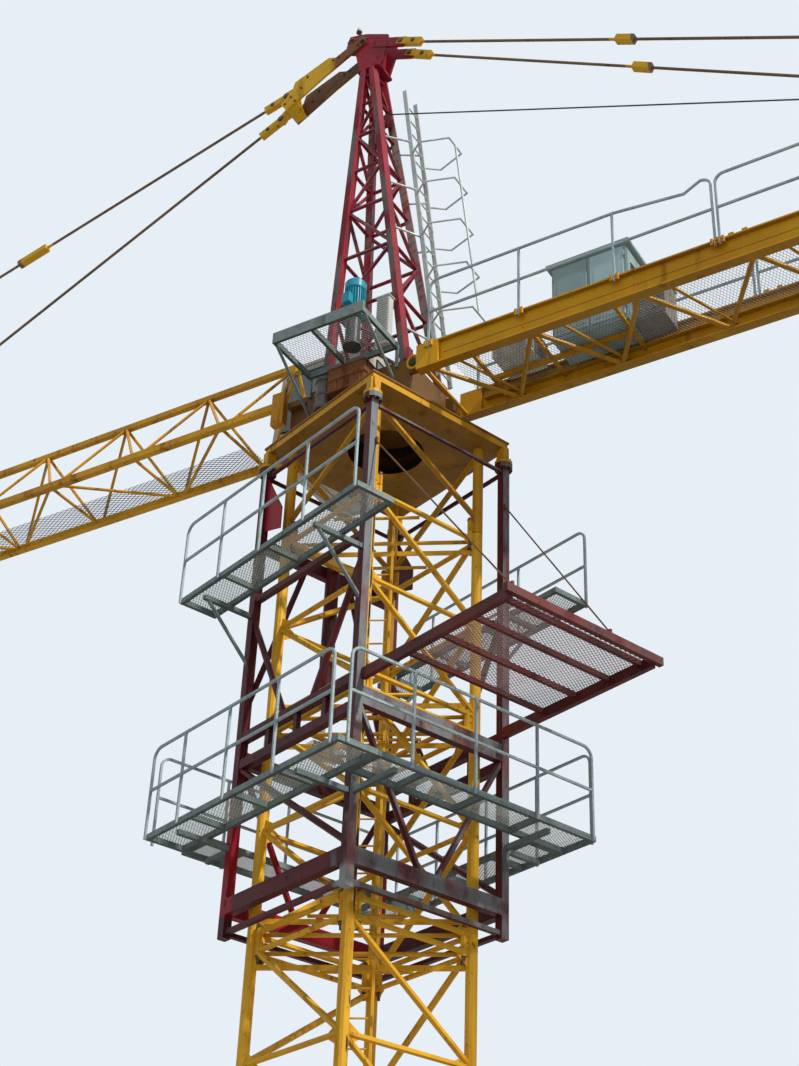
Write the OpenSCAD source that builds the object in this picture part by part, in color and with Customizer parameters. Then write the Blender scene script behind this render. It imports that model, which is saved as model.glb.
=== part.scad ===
// Tower crane with a climbing frame, a slewing top, a jib and a counter-jib
// Millimetres, +Z up, origin on the mast axis at the underside of the base

/* [Mast] */
// centre distance of the mast legs
mast_pitch = 1600; // [1200:50:2000]
// height of one mast section
section_h = 2500; // [2000:100:3000]
// outside diameter of a mast leg
leg_d = 127; // [90:1:160]
// diameter of the horizontal mast braces
brace_d = 64; // [40:1:90]
// diameter of the diagonal mast braces
diag_d = 70; // [40:1:90]
// distance from a section end to its first horizontal
brace_end = 100; // [80:5:300]
// diameter of a bolt sleeve on a leg end
sleeve_d = 62; // [40:1:70]
// height of a bolt sleeve
sleeve_h = 150; // [100:5:200]
// distance from the leg axis to a sleeve axis
sleeve_off = 116; // [92:1:130]

/* [Base] */
// height of the base frame under the mast
base_h = 300; // [200:10:400]
// side of a foundation plate
plate_w = 520; // [400:10:700]
// thickness of a foundation plate
plate_t = 40; // [20:1:60]
// radius of an anchor hole
anchor_r = 21; // [12:0.5:30]
// distance between the anchor holes of a plate
anchor_pitch = 380; // [300:10:500]
// height of a base beam
base_beam_h = 140; // [120:10:240]
// width of a base beam
base_beam_w = 140; // [80:10:200]

/* [Climbing frame] */
// centre distance of the climbing frame legs
cage_pitch = 2034; // [1900:2:2200]
// height of the underside of the climbing frame legs
cage_z0 = 7850; // [7000:10:9000]
// height of the top of the leg flanges
cage_z1 = 13790; // [13000:10:14000]
// outside width of a box leg
cage_leg = 100; // [80:2:140]
// diameter of a leg flange collar
collar_d = 220; // [180:5:300]
// height of the middle of the lower ring beams
ring_z = 8185; // [8000:5:8400]
// height of a lower ring beam
ring_h = 175; // [150:5:300]
// width of a lower ring beam
ring_t = 96; // [80:2:140]
// diameter of the cage diagonals
cage_diag = 76; // [60:2:110]
// diameter of the thin tubes of the cage
cage_thin = 56; // [40:2:80]
// height of the lower of the double side beams
side_low_z = 9810; // [9600:5:10000]
// height of the upper of the double side beams
side_high_z = 10140; // [10000:5:10300]

/* [Walkways] */
// height of the lower walkway deck
low_deck_z = 8930; // [8800:5:9100]
// height of the upper walkway deck
up_deck_z = 11800; // [11600:5:12000]
// distance from the mast axis to the outer edge of a walkway
deck_out = 1800; // [1700:10:2000]
// width of a walkway
deck_w = 490; // [400:5:700]
// depth of a walkway frame channel
deck_h = 63; // [40:1:100]
// width of a walkway frame channel
deck_t = 45; // [30:1:80]
// thickness of the mesh floors
mesh_t = 6; // [3:1:10]
// height of the handrails
rail_h = 1000; // [900:10:1200]
// diameter of the handrail tubes
rail_d = 26; // [20:1:48]

/* [Feed platform] */
// height of the feed platform
feed_z = 10220; // [10100:5:10300]
// distance from the mast axis to the outer beam
feed_out = 3280; // [3000:10:3500]
// distance between the two side beams
feed_w = 1960; // [1800:10:2100]
// height of a side beam
feed_h = 120; // [80:5:160]

/* [Slewing frame] */
// half of the outer width of the box frame
box_half = 1050; // [1000:5:1100]
// height of the underside of the box frame
box_z0 = 14020; // [13900:5:14100]
// height of the top of the box frame
box_z1 = 14300; // [14200:5:14400]
// outer radius of the slewing ring
slew_r = 620; // [500:10:700]
// inner radius of the slewing ring
slew_ri = 470; // [400:10:500]
// height of one slewing ring half
slew_h = 62; // [50:1:90]

/* [Slewing top] */
// direction of the jib seen from above, from the X axis
jib_angle = 109.1; // [0:0.1:360]
// height of the top of the slewing platform
plat_z1 = 14950; // [14900:5:15100]
// half width of the slewing platform
plat_w = 470; // [400:10:600]
// height of the cathead pin head
head_z = 21250; // [20500:10:22000]
// distance of the cathead top in front of the slewing axis
head_s = 520; // [0:10:800]
// outside width of a cathead leg
cat_leg = 100; // [70:2:140]
// diameter of a cathead brace
cat_brace = 52; // [40:1:80]

/* [Jib] */
// length of one jib bay
bay = 1421.4; // [1200:0.1:1600]
// number of jib bays
jib_bays = 17; // [8:1:20]
// distance of the first bottom node from the slewing axis
jib_s0 = 2180; // [1800:5:2500]
// height of the bottom chords
jib_z0 = 14865; // [14800:5:15000]
// height of the top chord
jib_z1 = 15909; // [15700:1:16200]
// half distance of the bottom chords
jib_w = 508; // [400:1:700]
// width of a bottom chord
chord_b = 90; // [60:1:120]
// width of the top chord
chord_t = 78; // [60:1:120]
// width of a jib diagonal
web_t = 45; // [30:1:70]
// number of the top node that carries the inner stay
stay_in = 7; // [5:1:9]
// number of the top node that carries the outer stay
stay_out = 16; // [10:1:19]

/* [Counter-jib] */
// length of the counter-jib behind the slewing axis
cj_len = 12300; // [8000:100:13000]
// distance of its front end from the slewing axis
cj_s0 = 660; // [500:10:900]
// underside of the girders
cj_z0 = 14610; // [14500:1:14700]
// depth of the girders
cj_h = 365; // [300:5:420]
// half distance of the girders
cj_w = 541; // [450:1:700]
// width of a girder flange
cj_t = 130; // [100:5:200]
// distance between two lacing joints
lace = 683; // [500:1:1600]
// pitch of the rail posts
post_pitch = 1225; // [1000:5:1600]
// distance of the stay pins from the slewing axis
cj_stay = 10500; // [9000:50:12000]
// diameter of the stay rods
stay_d = 42; // [30:1:60]

/* [Hidden] */
hp = mast_pitch / 2;
hc = cage_pitch / 2;
mast_top = base_h + 5 * section_h;
// running gap between pieces that move past each other
gap = 6;
// seat gap between pieces that rest on each other
fit = 0.3;
round_sides = 12;
few_sides = 6;
yellow = [0.93, 0.62, 0.08];
maroon = [0.36, 0.07, 0.09];
red = [0.62, 0.12, 0.16];
grey = [0.45, 0.52, 0.52];
pale = [0.72, 0.76, 0.76];
steel = [0.30, 0.31, 0.33];
cyan = [0.20, 0.66, 0.76];
concrete = [0.60, 0.59, 0.56];

// round bar from a to b with few flat sides
module rod(a, b, d, n = few_sides) {
  v = b - a;
  len = norm(v);
  translate(a)
    rotate([0, acos(v[2] / len), atan2(v[1], v[0])])
      cylinder(h = len, d = d, $fn = n);
}

// rectangular bar from a to b, w wide across and h deep
module beam(a, b, w, h) {
  v = b - a;
  len = norm(v);
  translate(a)
    rotate([0, acos(v[2] / len), atan2(v[1], v[0])])
      translate([-h / 2, -w / 2, 0]) cube([h, w, len]);
}

// box given by two opposite corners
module block(a, b) {
  translate(a) cube(b - a);
}

// everything that turns with the jib: x runs along the jib
module top_frame() {
  rotate([0, 0, jib_angle]) children();
}

// one foundation leg with its plate
module foundation_leg(x, y) {
  translate([x, y, 0]) {
    difference() {
      translate([-plate_w / 2, -plate_w / 2, 0]) cube([plate_w, plate_w, plate_t]);
      for (i = [-1, 1], j = [-1, 1])
        translate([i * anchor_pitch / 2, j * anchor_pitch / 2, -1])
          cylinder(h = plate_t + 2, r = anchor_r);
    }
    cylinder(h = base_h, d = leg_d, $fn = round_sides);
  }
}

module base_frame() {
  color(yellow) {
    for (i = [-1, 1], j = [-1, 1]) foundation_leg(i * hp, j * hp);
    for (a = [45, 135])
      rotate([0, 0, a])
        block([-hp * sqrt(2), -base_beam_w / 2, base_h - 20 - base_beam_h],
              [hp * sqrt(2), base_beam_w / 2, base_h - 20]);
    block([-plate_w / 2, -plate_w / 2, 0], [plate_w / 2, plate_w / 2, plate_t]);
    block([-base_beam_w, -base_beam_w, 0], [base_beam_w, base_beam_w, base_h - 40]);
  }
}

// flat lattice side between two legs along X, at depth y, with its legs
module mast_side_with_legs(y, z) {
  for (i = [-1, 1])
    translate([i * hp, y, z]) {
      cylinder(h = section_h, d = leg_d, $fn = round_sides);
      leg_sleeves(-i, 0);
      leg_sleeves(0, -sign(y));
    }
  mast_lattice(y, z, hp, hp, sign(y));
}

// bolt sleeves and their web plates at both ends of a leg, on one side of it
module leg_sleeves(dx, dy) {
  for (zz = [0, section_h - sleeve_h]) {
    translate([dx * sleeve_off, dy * sleeve_off, zz])
      cylinder(h = sleeve_h, d = sleeve_d, $fn = few_sides);
    translate([dx * sleeve_off / 2, dy * sleeve_off / 2, zz + sleeve_h / 2])
      cube([dx == 0 ? 24 : sleeve_off, dy == 0 ? 24 : sleeve_off, sleeve_h - 20], center = true);
  }
}

// horizontals and diagonals of a side that runs along X
module mast_lattice(y, z, e_end, e_mid, way) {
  z_low = z + brace_end;
  z_mid = z + section_h / 2;
  z_top = z + section_h - brace_end;
  rod([-e_end, y, z_low], [e_end, y, z_low], brace_d);
  rod([-e_mid, y, z_mid], [e_mid, y, z_mid], brace_d);
  rod([-e_end, y, z_top], [e_end, y, z_top], brace_d);
  rod([way * e_mid, y, z_mid - 8], [-way * e_end, y, z_low + 8], diag_d);
  rod([way * e_end, y, z_top - 8], [-way * e_mid, y, z_mid + 8], diag_d);
}

// side that runs along Y, seated against the legs of the other two sides
module mast_side_between(x, z, way) {
  e_end = hp - sleeve_off - sleeve_d / 2 - fit;
  e_mid = hp - leg_d / 2 - fit;
  intersection() {
    rotate([0, 0, 90]) mast_lattice(-x, z, e_end + 40, e_mid + 40, way);
    union() {
      block([x - 60, -e_end, z], [x + 60, e_end, z + section_h]);
      block([x - 60, -e_mid, z + sleeve_h + 40], [x + 60, e_mid, z + section_h - sleeve_h - 40]);
    }
  }
}

module mast_section(i) {
  z = base_h + (i - 1) * section_h;
  color(yellow) {
    mast_side_with_legs(-hp, z);
    mast_side_with_legs(hp, z);
    mast_side_between(-hp, z, 1);
    mast_side_between(hp, z, -1);
  }
}

// ladder inside the mast, on flat bars that run from leg to leg
ladder_w = 340;
ladder_x = 20;
ladder_c = -430;
rung_pitch = 300;
rung_d = 22;
bar_end = 245;
module mast_ladder() {
  half = hp * sqrt(2) - leg_d / 2 - fit;
  color(yellow)
    rotate([0, 0, -45]) {
      for (i = [-1, 1])
        block([ladder_x + i * ladder_w / 2 - 12, ladder_c - 25, base_h + 150],
              [ladder_x + i * ladder_w / 2 + 12, ladder_c + 25, mast_top - 150]);
      for (z = [base_h + 300 : rung_pitch : mast_top - 300])
        rod([ladder_x - ladder_w / 2, ladder_c, z], [ladder_x + ladder_w / 2, ladder_c, z], rung_d);
      for (k = [0 : 4], zz = [bar_end, section_h - bar_end]) {
        z = base_h + k * section_h + zz;
        block([-half, -6, z - 30], [half, 6, z + 30]);
        for (i = [-1, 1])
          translate([ladder_x, 0, 0])
            block([i * ladder_w / 2 - 9, ladder_c, z - 20], [i * ladder_w / 2 + 9, 4, z + 20]);
      }
    }
}

// cylinder that lifts the frame: barrel on the frame, rod and yoke on the mast
ram_y = 930;
ram_d = 170;
ram_rod_d = 70;
ram_z0 = 10900;
ram_z1 = 12780;
yoke_z = 10232.8;
module jacking_yoke() {
  color(steel) {
    translate([0, ram_y, yoke_z + 50]) cylinder(h = ram_z1 - 160 - yoke_z, d = ram_rod_d);
    block([-220, hp - 20, yoke_z], [220, ram_y + ram_rod_d / 2, yoke_z + 110]);
  }
}

module jacking_cylinder() {
  e = hc - cage_leg / 2 - fit;
  color(maroon) {
    difference() {
      translate([0, ram_y, ram_z0]) cylinder(h = ram_z1 - ram_z0, d = ram_d);
      translate([0, ram_y, ram_z0 - 1])
        cylinder(h = ram_z1 - ram_z0 - 60, d = ram_rod_d + 12);
    }
    block([-e, hc - 45, ram_z1 - 150], [e, hc + 45, ram_z1 + 10]);
  }
}

module cage_legs() {
  color(maroon)
    for (i = [-1, 1], j = [-1, 1])
      translate([i * hc, j * hc, 0]) {
        block([-cage_leg / 2, -cage_leg / 2, cage_z0], [cage_leg / 2, cage_leg / 2, cage_z1 - 30]);
        translate([0, 0, cage_z1 - 70]) cylinder(h = 70, d = collar_d, $fn = round_sides);
      }
}

// what stands between two legs of a side, cut flush with them
cage_e = hc - cage_leg / 2 - fit;
arm_foot = ring_z + ring_h / 2 + fit;
top_bar_z = cage_z1 - 110;
module between_legs(z0, z1) {
  intersection() {
    union() children();
    block([-cage_e, -100, z0], [cage_e, 100, z1]);
  }
}

// two arms from the legs at height z1 to points x0 beside the middle at height z0
module v_arms(z1, z0, x0) {
  for (i = [-1, 1])
    rod([i * (cage_e + 30), 0, z1], [i * x0, 0, z0], cage_diag);
}

module cage_closed_side() {
  between_legs(arm_foot, cage_z1) {
    for (z = [side_low_z, side_high_z])
      block([-cage_e, -45, z - 55], [cage_e, 45, z + 55]);
    for (x = [-500, 0, 500])
      block([x - 30, -30, side_low_z], [x + 30, 30, side_high_z]);
    rod([-cage_e - 30, 0, arm_foot + 50], [cage_e + 30, 0, side_low_z - 40], cage_diag);
    v_arms(11640, side_high_z + 20, 240);
    block([-cage_e, -35, 11885], [cage_e, 35, 11955]);
    rod([-cage_e - 30, 0, top_bar_z], [cage_e + 30, 0, top_bar_z], cage_thin);
  }
  linear_gusset();
}

// triangular plate under the top bar
module linear_gusset() {
  translate([0, 7, 0]) rotate([90, 0, 0])
    linear_extrude(height = 14)
      polygon([[cage_e, top_bar_z - 40], [cage_e - 330, top_bar_z - 600],
               [cage_e - 330, top_bar_z - 900], [cage_e, top_bar_z - 800]]);
}

module cage_left_side() {
  color(maroon) translate([-hc, 0, 0]) rotate([0, 0, 90]) cage_closed_side();
}

module cage_right_side() {
  color(maroon) translate([hc, 0, 0]) rotate([0, 0, 90]) cage_closed_side();
}

module cage_back_side() {
  color(maroon) translate([0, hc, 0]) {
    between_legs(arm_foot, ram_z1 - 150 - fit) {
      block([-cage_e, -45, side_low_z + 10], [cage_e, 45, side_low_z + 180]);
      v_arms(side_low_z + 50, arm_foot - 20, 110);
      v_arms(10560, ram_z1 - 100, 330);
    }
    between_legs(ram_z1, cage_z1)
      rod([-cage_e - 30, 0, top_bar_z], [cage_e + 30, 0, top_bar_z], cage_thin);
  }
}

module cage_front_side() {
  color(maroon) translate([0, -hc, 0])
    between_legs(arm_foot, cage_z1) {
      block([-cage_e, -45, side_low_z + 20], [cage_e, 45, side_low_z + 225]);
      v_arms(side_low_z + 50, arm_foot - 20, 110);
      rod([-cage_e - 30, 0, top_bar_z], [cage_e + 30, 0, top_bar_z], cage_thin);
    }
}

module cage_lower_ring() {
  out = hc + cage_leg / 2;
  color(maroon)
    for (a = [0 : 90 : 270])
      rotate([0, 0, a]) {
        block([-cage_e, -out, ring_z - ring_h / 2], [cage_e, -out + ring_t, ring_z + ring_h / 2]);
        block([-cage_e, -hc - cage_thin / 2, cage_z0 + 40], [cage_e, -hc + cage_thin / 2, cage_z0 + 90]);
      }
}

// walkway frame outside one side, from a to b along X, with brackets back to the legs
module deck_frame(a, b, z, bars, out, struts) {
  in = out - deck_w;
  block([a, -out, z - deck_h], [b, -out + deck_t, z]);
  block([a, -in - deck_t, z - deck_h], [b, -in, z]);
  for (x = bars)
    block([x - deck_t / 2, -out + 1, z - deck_h + 1], [x + deck_t / 2, -in - 1, z - 1]);
  for (i = [-1, 1])
    deck_bracket(i * (hc + 4), z - deck_h, 640, out, struts);
}

// channel under the walkway at a leg, with or without a raking strut
module deck_bracket(x, z, drop, out, struts) {
  face = hc + cage_leg / 2 + fit;
  block([x - 26, -out + 90, z - 55], [x + 26, -face, z + 1]);
  if (struts)
    intersection() {
      rod([x, -out + 130, z - 30], [x, -face + 60, z - drop - 60], 46);
      block([x - 60, -out, z - drop - 100], [x + 60, -face, z - 20]);
    }
}

// handrail from a to b along X, drawn flat and turned upright
module rail_panel(a, b, z, posts, out) {
  t = rail_h + deck_h;
  rr = 130;
  translate([0, -out - fit, z - deck_h]) rotate([90, 0, 0])
    linear_extrude(height = rail_d) {
      difference() {
        rail_shape(a, b, t, rr);
        translate([0, -rail_d]) rail_shape(a + rail_d, b - rail_d, t, rr - rail_d);
        translate([a - 1, -2 * t]) square([b - a + 2, 2 * t]);
      }
      translate([a + rail_d / 2, deck_h + rail_h / 2 - rail_d / 2]) square([b - a - rail_d, rail_d]);
      for (p = posts) translate([p - rail_d / 2, 0]) square([rail_d, t - rail_d / 2]);
    }
}

// flat outline with rounded top corners
module rail_shape(a, b, t, r) {
  translate([a, -t]) square([b - a, 2 * t - r]);
  translate([a + r, 0]) square([b - a - 2 * r, t]);
  for (x = [a + r, b - r]) translate([x, t - r]) circle(r = r);
}

// sides of the lower walkway: turn, deck start and end, rail start and end, outer distance
low_sides = [[0, -1300, 1620, -1710, 1580, deck_out], [-90, -1510, 1800, -1510, 1700, deck_out],
             [90, -1300, 1070, -1740, 1500, 1620], [180, -1620, 1300, -1560, 1680, 1570]];
low_posts = [-900, -80, 770];
module lower_walkway() {
  color(grey)
    for (q = low_sides)
      rotate([0, 0, q[0]])
        deck_frame(q[1], q[2], low_deck_z, [q[1] + 23, -700, 60, 820, q[2] - 23], q[5], false);
}

module lower_walkway_mesh() {
  color(pale)
    for (q = low_sides)
      rotate([0, 0, q[0]])
        block([q[1] + 5, -q[5] + 10, low_deck_z + fit],
              [q[2] - 5, -q[5] + deck_w - 8, low_deck_z + fit + mesh_t]);
}

module lower_handrails() {
  color(pale)
    for (q = low_sides)
      rotate([0, 0, q[0]])
        rail_panel(q[3], q[4], low_deck_z, low_posts, q[5]);
}

up_sides = [[-90, -1390, 1870, deck_out], [90, -1760, 1390, 1620]];
module upper_walkway() {
  color(grey)
    for (q = up_sides)
      rotate([0, 0, q[0]])
        deck_frame(q[1], q[2], up_deck_z, [q[1] + 23, -560, 260, q[2] - 23], q[3], true);
}

module upper_walkway_mesh() {
  color(pale)
    for (q = up_sides)
      rotate([0, 0, q[0]])
        block([q[1] + 5, -q[3] + 10, up_deck_z + fit],
              [q[2] - 5, -q[3] + deck_w - 8, up_deck_z + fit + mesh_t]);
}

module upper_handrails() {
  color(pale)
    for (q = up_sides)
      rotate([0, 0, q[0]])
        rail_panel(q[1] + 10, q[2] - 20, up_deck_z, [-620, 150, 950], q[3]);
}

feed_bars = [1700, 2200, 2680, 3130];
module feed_platform() {
  h = feed_w / 2;
  in = hc + cage_leg / 2 + fit;
  color(maroon) {
    for (i = [-1, 1])
      block([i * h - 30, -feed_out, feed_z - feed_h], [i * h + 30, -in, feed_z]);
    block([-h - 90, -feed_out - 60, feed_z - 90], [h + 90, -feed_out, feed_z]);
    for (y = feed_bars)
      block([-h, -y - 20, feed_z - 60], [h, -y + 20, feed_z]);
  }
}

module feed_platform_mesh() {
  h = feed_w / 2 - 30;
  color(red)
    block([-h, -feed_out + 10, feed_z + fit], [h, -feed_bars[0] + 20, feed_z + fit + mesh_t]);
}

module feed_platform_ties() {
  h = feed_w / 2;
  color(steel) {
    rod([-h, -hc - cage_leg / 2 - 14, 13130], [-h, -feed_out - 20, feed_z + 12], 20);
    rod([h, -hc - cage_leg / 2 - 14, 13150], [340, -feed_out - 30, feed_z + 12], 20);
    for (x = [-h, h])
      block([x - 12, -hc - cage_leg / 2 - 34, 13090], [x + 12, -hc - cage_leg / 2 - fit, 13180]);
    for (x = [-h, 340])
      block([x - 14, -feed_out - 45, feed_z + fit], [x + 14, -feed_out - 5, feed_z + 50]);
  }
}

// box frame that carries the slewing ring, with bevelled ends on the cage flanges
module slewing_frame() {
  in = 560;
  c = box_half;
  color(yellow) {
    difference() {
      block([-c, -c, box_z0], [c, c, box_z1]);
      block([-in, -in, box_z0 + 25], [in, in, box_z1 - 25]);
      translate([0, 0, box_z0 - 1]) cylinder(h = 40, r = slew_ri);
      translate([0, 0, box_z1 - 40]) cylinder(h = 60, r = slew_ri);
      for (a = [90, 180, 270])
        rotate([0, 0, a]) corner_bevel();
    }
    for (a = [0 : 90 : 270])
      rotate([0, 0, a])
        translate([-hc, -hc, 0]) {
          translate([0, 0, cage_z1 + fit]) cylinder(h = 40, d = collar_d, $fn = round_sides);
          block([-30, -60, cage_z1 + 20], [60, 60, box_z0 + 10]);
          block([-60, -30, cage_z1 + 21], [55, 55, box_z0 + 10]);
        }
  }
}

// what is taken off the frame's top at one corner
module corner_bevel() {
  t = box_half - 340;
  for (m = [0, 1])
    mirror([m, -m, 0])
      translate([-t, box_half + 50, box_z1 - 30]) rotate([90, 0, 0])
        linear_extrude(height = 2 * box_half + 100)
          polygon([[0, 30.5], [-box_half, 30.5], [-box_half, -170], [-340, -140]]);
}

module slewing_frame_legs() {
  z0 = mast_top + gap;
  color(yellow) {
    for (i = [-1, 1], j = [-1, 1])
      translate([i * hp, j * hp, z0]) {
        cylinder(h = box_z0 - z0, d = leg_d, $fn = round_sides);
        for (d = [[-i, 0], [0, -j]]) {
          translate([d[0] * sleeve_off, d[1] * sleeve_off, 0])
            cylinder(h = sleeve_h, d = sleeve_d, $fn = few_sides);
          translate([d[0] * sleeve_off / 2, d[1] * sleeve_off / 2, sleeve_h / 2])
            cube([d[0] == 0 ? 24 : sleeve_off, d[1] == 0 ? 24 : sleeve_off, sleeve_h - 20],
                 center = true);
        }
      }
    for (j = [-1, 1])
      rod([-hp, j * hp, box_z0 - 70], [hp, j * hp, z0 + 200], diag_d);
    e = hp - leg_d / 2 - fit;
    for (j = [-1, 1])
      intersection() {
        rod([j * hp, -hp - 40, box_z0 - 40], [j * hp, hp + 40, z0 + 170], diag_d);
        block([j * hp - 60, -e, z0 + 155], [j * hp + 60, e, box_z0]);
      }
  }
}

module slewing_ring(z) {
  translate([0, 0, z])
    difference() {
      cylinder(h = slew_h, r = slew_r);
      translate([0, 0, -1]) cylinder(h = slew_h + 2, r = slew_ri);
    }
}

ring_top = box_z1 + slew_h;
module lower_slewing_ring() {
  color(steel) slewing_ring(box_z1);
}

module upper_slewing_ring() {
  color(steel) slewing_ring(ring_top + gap);
}

plat_z0 = box_z1 + 2 * slew_h + gap;
module slewing_platform() {
  color(maroon)
    top_frame() {
      block([-cj_s0 + 70, -plat_w, plat_z0], [900, plat_w, plat_z1]);
      block([800, -plat_w + 90, plat_z0 + 60], [1210, plat_w - 90, plat_z1 - 60]);
      for (i = [-1, 1]) {
        block([-cj_s0 - 40, i * 440 - 30, 14720], [-cj_s0 + 90, i * 440 + 30, 14920]);
        block([1205, i * jib_w - 50, 14560], [root_s, i * jib_w + 50, 15050]);
        block([880, i * (plat_w - 40) - 40, jib_z0 - 45], [1210, i * (plat_w - 40) + 40, jib_z0 + 45]);
      }
    }
}

module slewing_gearbox() {
  color([0.45, 0.22, 0.08])
    top_frame() {
      block([-120, plat_w + fit, 14560], [400, plat_w + 290, 14940]);
      translate([560, plat_w + 110 + fit, 14480]) cylinder(h = 460, d = 220);
    }
}

module slewing_motor() {
  color(cyan)
    top_frame() {
      translate([120, 700, mp_mesh_z + mesh_t + fit]) cylinder(h = 480, d = 190);
      translate([120, 700, mp_z + 500]) cylinder(h = 550, d = 230);
    }
}

mp_a = -430;
mp_b = 880;
mp_w0 = 490;
mp_w1 = 1320;
mp_z = 15200;
mp_mesh_z = mp_z + 20 + fit;
module motor_platform() {
  color(grey)
    top_frame() {
      block([mp_a, mp_w0, mp_z - 60], [mp_b, mp_w0 + 40, mp_z + 20]);
      block([mp_a, mp_w1 - 40, mp_z - 60], [mp_b, mp_w1, mp_z + 100]);
      for (x = [mp_a, 300, mp_b - 40])
        block([x, mp_w0, mp_z - 60], [x + 40, mp_w1, mp_z + 20]);
      for (x = [mp_a + 20, mp_b - 20])
        intersection() {
          rod([x, mp_w1 - 60, mp_z - 40], [x, plat_w - 40, 14560], 40);
          block([x - 40, plat_w + fit, 14400], [x + 40, mp_w1, mp_z - 20]);
        }
      block([mp_a, plat_w + fit, 14860], [mp_a + 40, mp_w0 + 10, mp_z]);
      block([mp_b - 40, plat_w + fit, 14860], [mp_b, mp_w0 + 10, mp_z]);
    }
}

// corners of the cathead at its foot and at its top
foot_s = [-500, 650];
foot_w = 430;
top_s = [head_s - 70, head_s + 75];
top_w = 140;
cat_z0 = plat_z1;
cat_z1 = head_z - 290;
function cat_at(i, j, t) =
  let (s = foot_s[i] + (top_s[i] - foot_s[i]) * t)
  let (w = (foot_w + (top_w - foot_w) * t) * (2 * j - 1))
  [s, w, cat_z0 + (cat_z1 - cat_z0) * t];

cat_levels = [0.03, 0.21, 0.37, 0.52, 0.65, 0.77, 0.88, 0.98];
sheave_t = 0.825;
sheave_r = 120;
module cathead() {
  color(red)
    top_frame()
      intersection() {
        cathead_bars();
        block([-1000, -1000, plat_z1 + fit], [1000, 1000, cat_z1 - fit]);
      }
}

module cathead_legs(extra) {
  for (i = [0, 1], j = [0, 1])
    beam(cat_at(i, j, -0.01), cat_at(i, j, 1.01), cat_leg + extra, cat_leg + extra);
}

module cathead_bars() {
  cathead_legs(0);
  for (k = [1 : 7], j = [0, 1]) {
    rod(cat_at(0, j, cat_levels[k]), cat_at(1, j, cat_levels[k]), cat_brace);
    rod(cat_at(k % 2, j, cat_levels[k]), cat_at(1 - k % 2, j, cat_levels[k - 1]), cat_brace);
  }
  for (k = [1 : 7], i = [0, 1]) {
    rod(cat_at(i, 0, cat_levels[k]), cat_at(i, 1, cat_levels[k]), cat_brace);
    rod(cat_at(i, k % 2, cat_levels[k]), cat_at(i, 1 - k % 2, cat_levels[k - 1]), cat_brace);
  }
  for (i = [0, 1], j = [0, 1])
    translate(cat_at(i, j, 0)) block([-65, -65, 0], [65, j == 0 ? 65 : 38, 200]);
  // sheave of the hoist rope, on an axle between the rear legs
  rod(cat_at(0, 0, sheave_t), cat_at(0, 1, sheave_t), cat_brace);
  translate(lerp(cat_at(0, 0, sheave_t), cat_at(0, 1, sheave_t), 0.5) + [0, 20, 0])
    rotate([90, 0, 0]) cylinder(h = 40, r = sheave_r);
}

// cheek plates, arms with their pins and the pulley at the very top
pin_back = [-10, 0, head_z + 35];
pin_front = [head_s + 130, 0, head_z + 400];
pulley = [head_s + 345, 0, head_z + 560];
arm_w = 126;
arm_t = 40;
cheek_w = 105;
cheek_t = 30;
pin_d = 60;
module cathead_head() {
  color(red)
    top_frame() {
      block([head_s - 190, -190, cat_z1], [head_s + 180, 190, cat_z1 + 40]);
      block([head_s - 120, -cheek_w - 5, cat_z1 + 20], [head_s - 60, cheek_w + 5, head_z + 300]);
      block([head_s + 60, -cheek_w - 5, cat_z1 + 20], [head_s + 100, cheek_w + 5, head_z + 200]);
      for (i = [-1, 1]) {
        translate([head_s, i * (cheek_w + cheek_t / 2) + cheek_t / 2, head_z])
          rotate([90, 0, 0]) linear_extrude(height = cheek_t) cheek_shape();
        beam([head_s - 60, i * arm_w, head_z + 265], pin_back + [-60, i * arm_w, -32], arm_t, 165);
        rod(pin_back + [0, i * arm_w - 38, 0], pin_back + [0, i * arm_w + 38, 0], pin_d, round_sides);
      }
      rod(pin_front - [0, 175, 0], pin_front + [0, 175, 0], pin_d, round_sides);
      rod(pulley - [0, cheek_w + 10, 0], pulley + [0, cheek_w + 10, 0], 50, round_sides);
      translate(pulley + [0, 35, 0]) rotate([90, 0, 0]) cylinder(h = 70, r = 150);
    }
}

// flat outline of a cheek plate, drawn around the head point
module cheek_shape() {
  polygon([[-190, -290], [165, -290], [250, 130], [430, 520], [380, 640], [270, 610],
           [80, 540], [-290, 330], [-310, 180]]);
}

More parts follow.
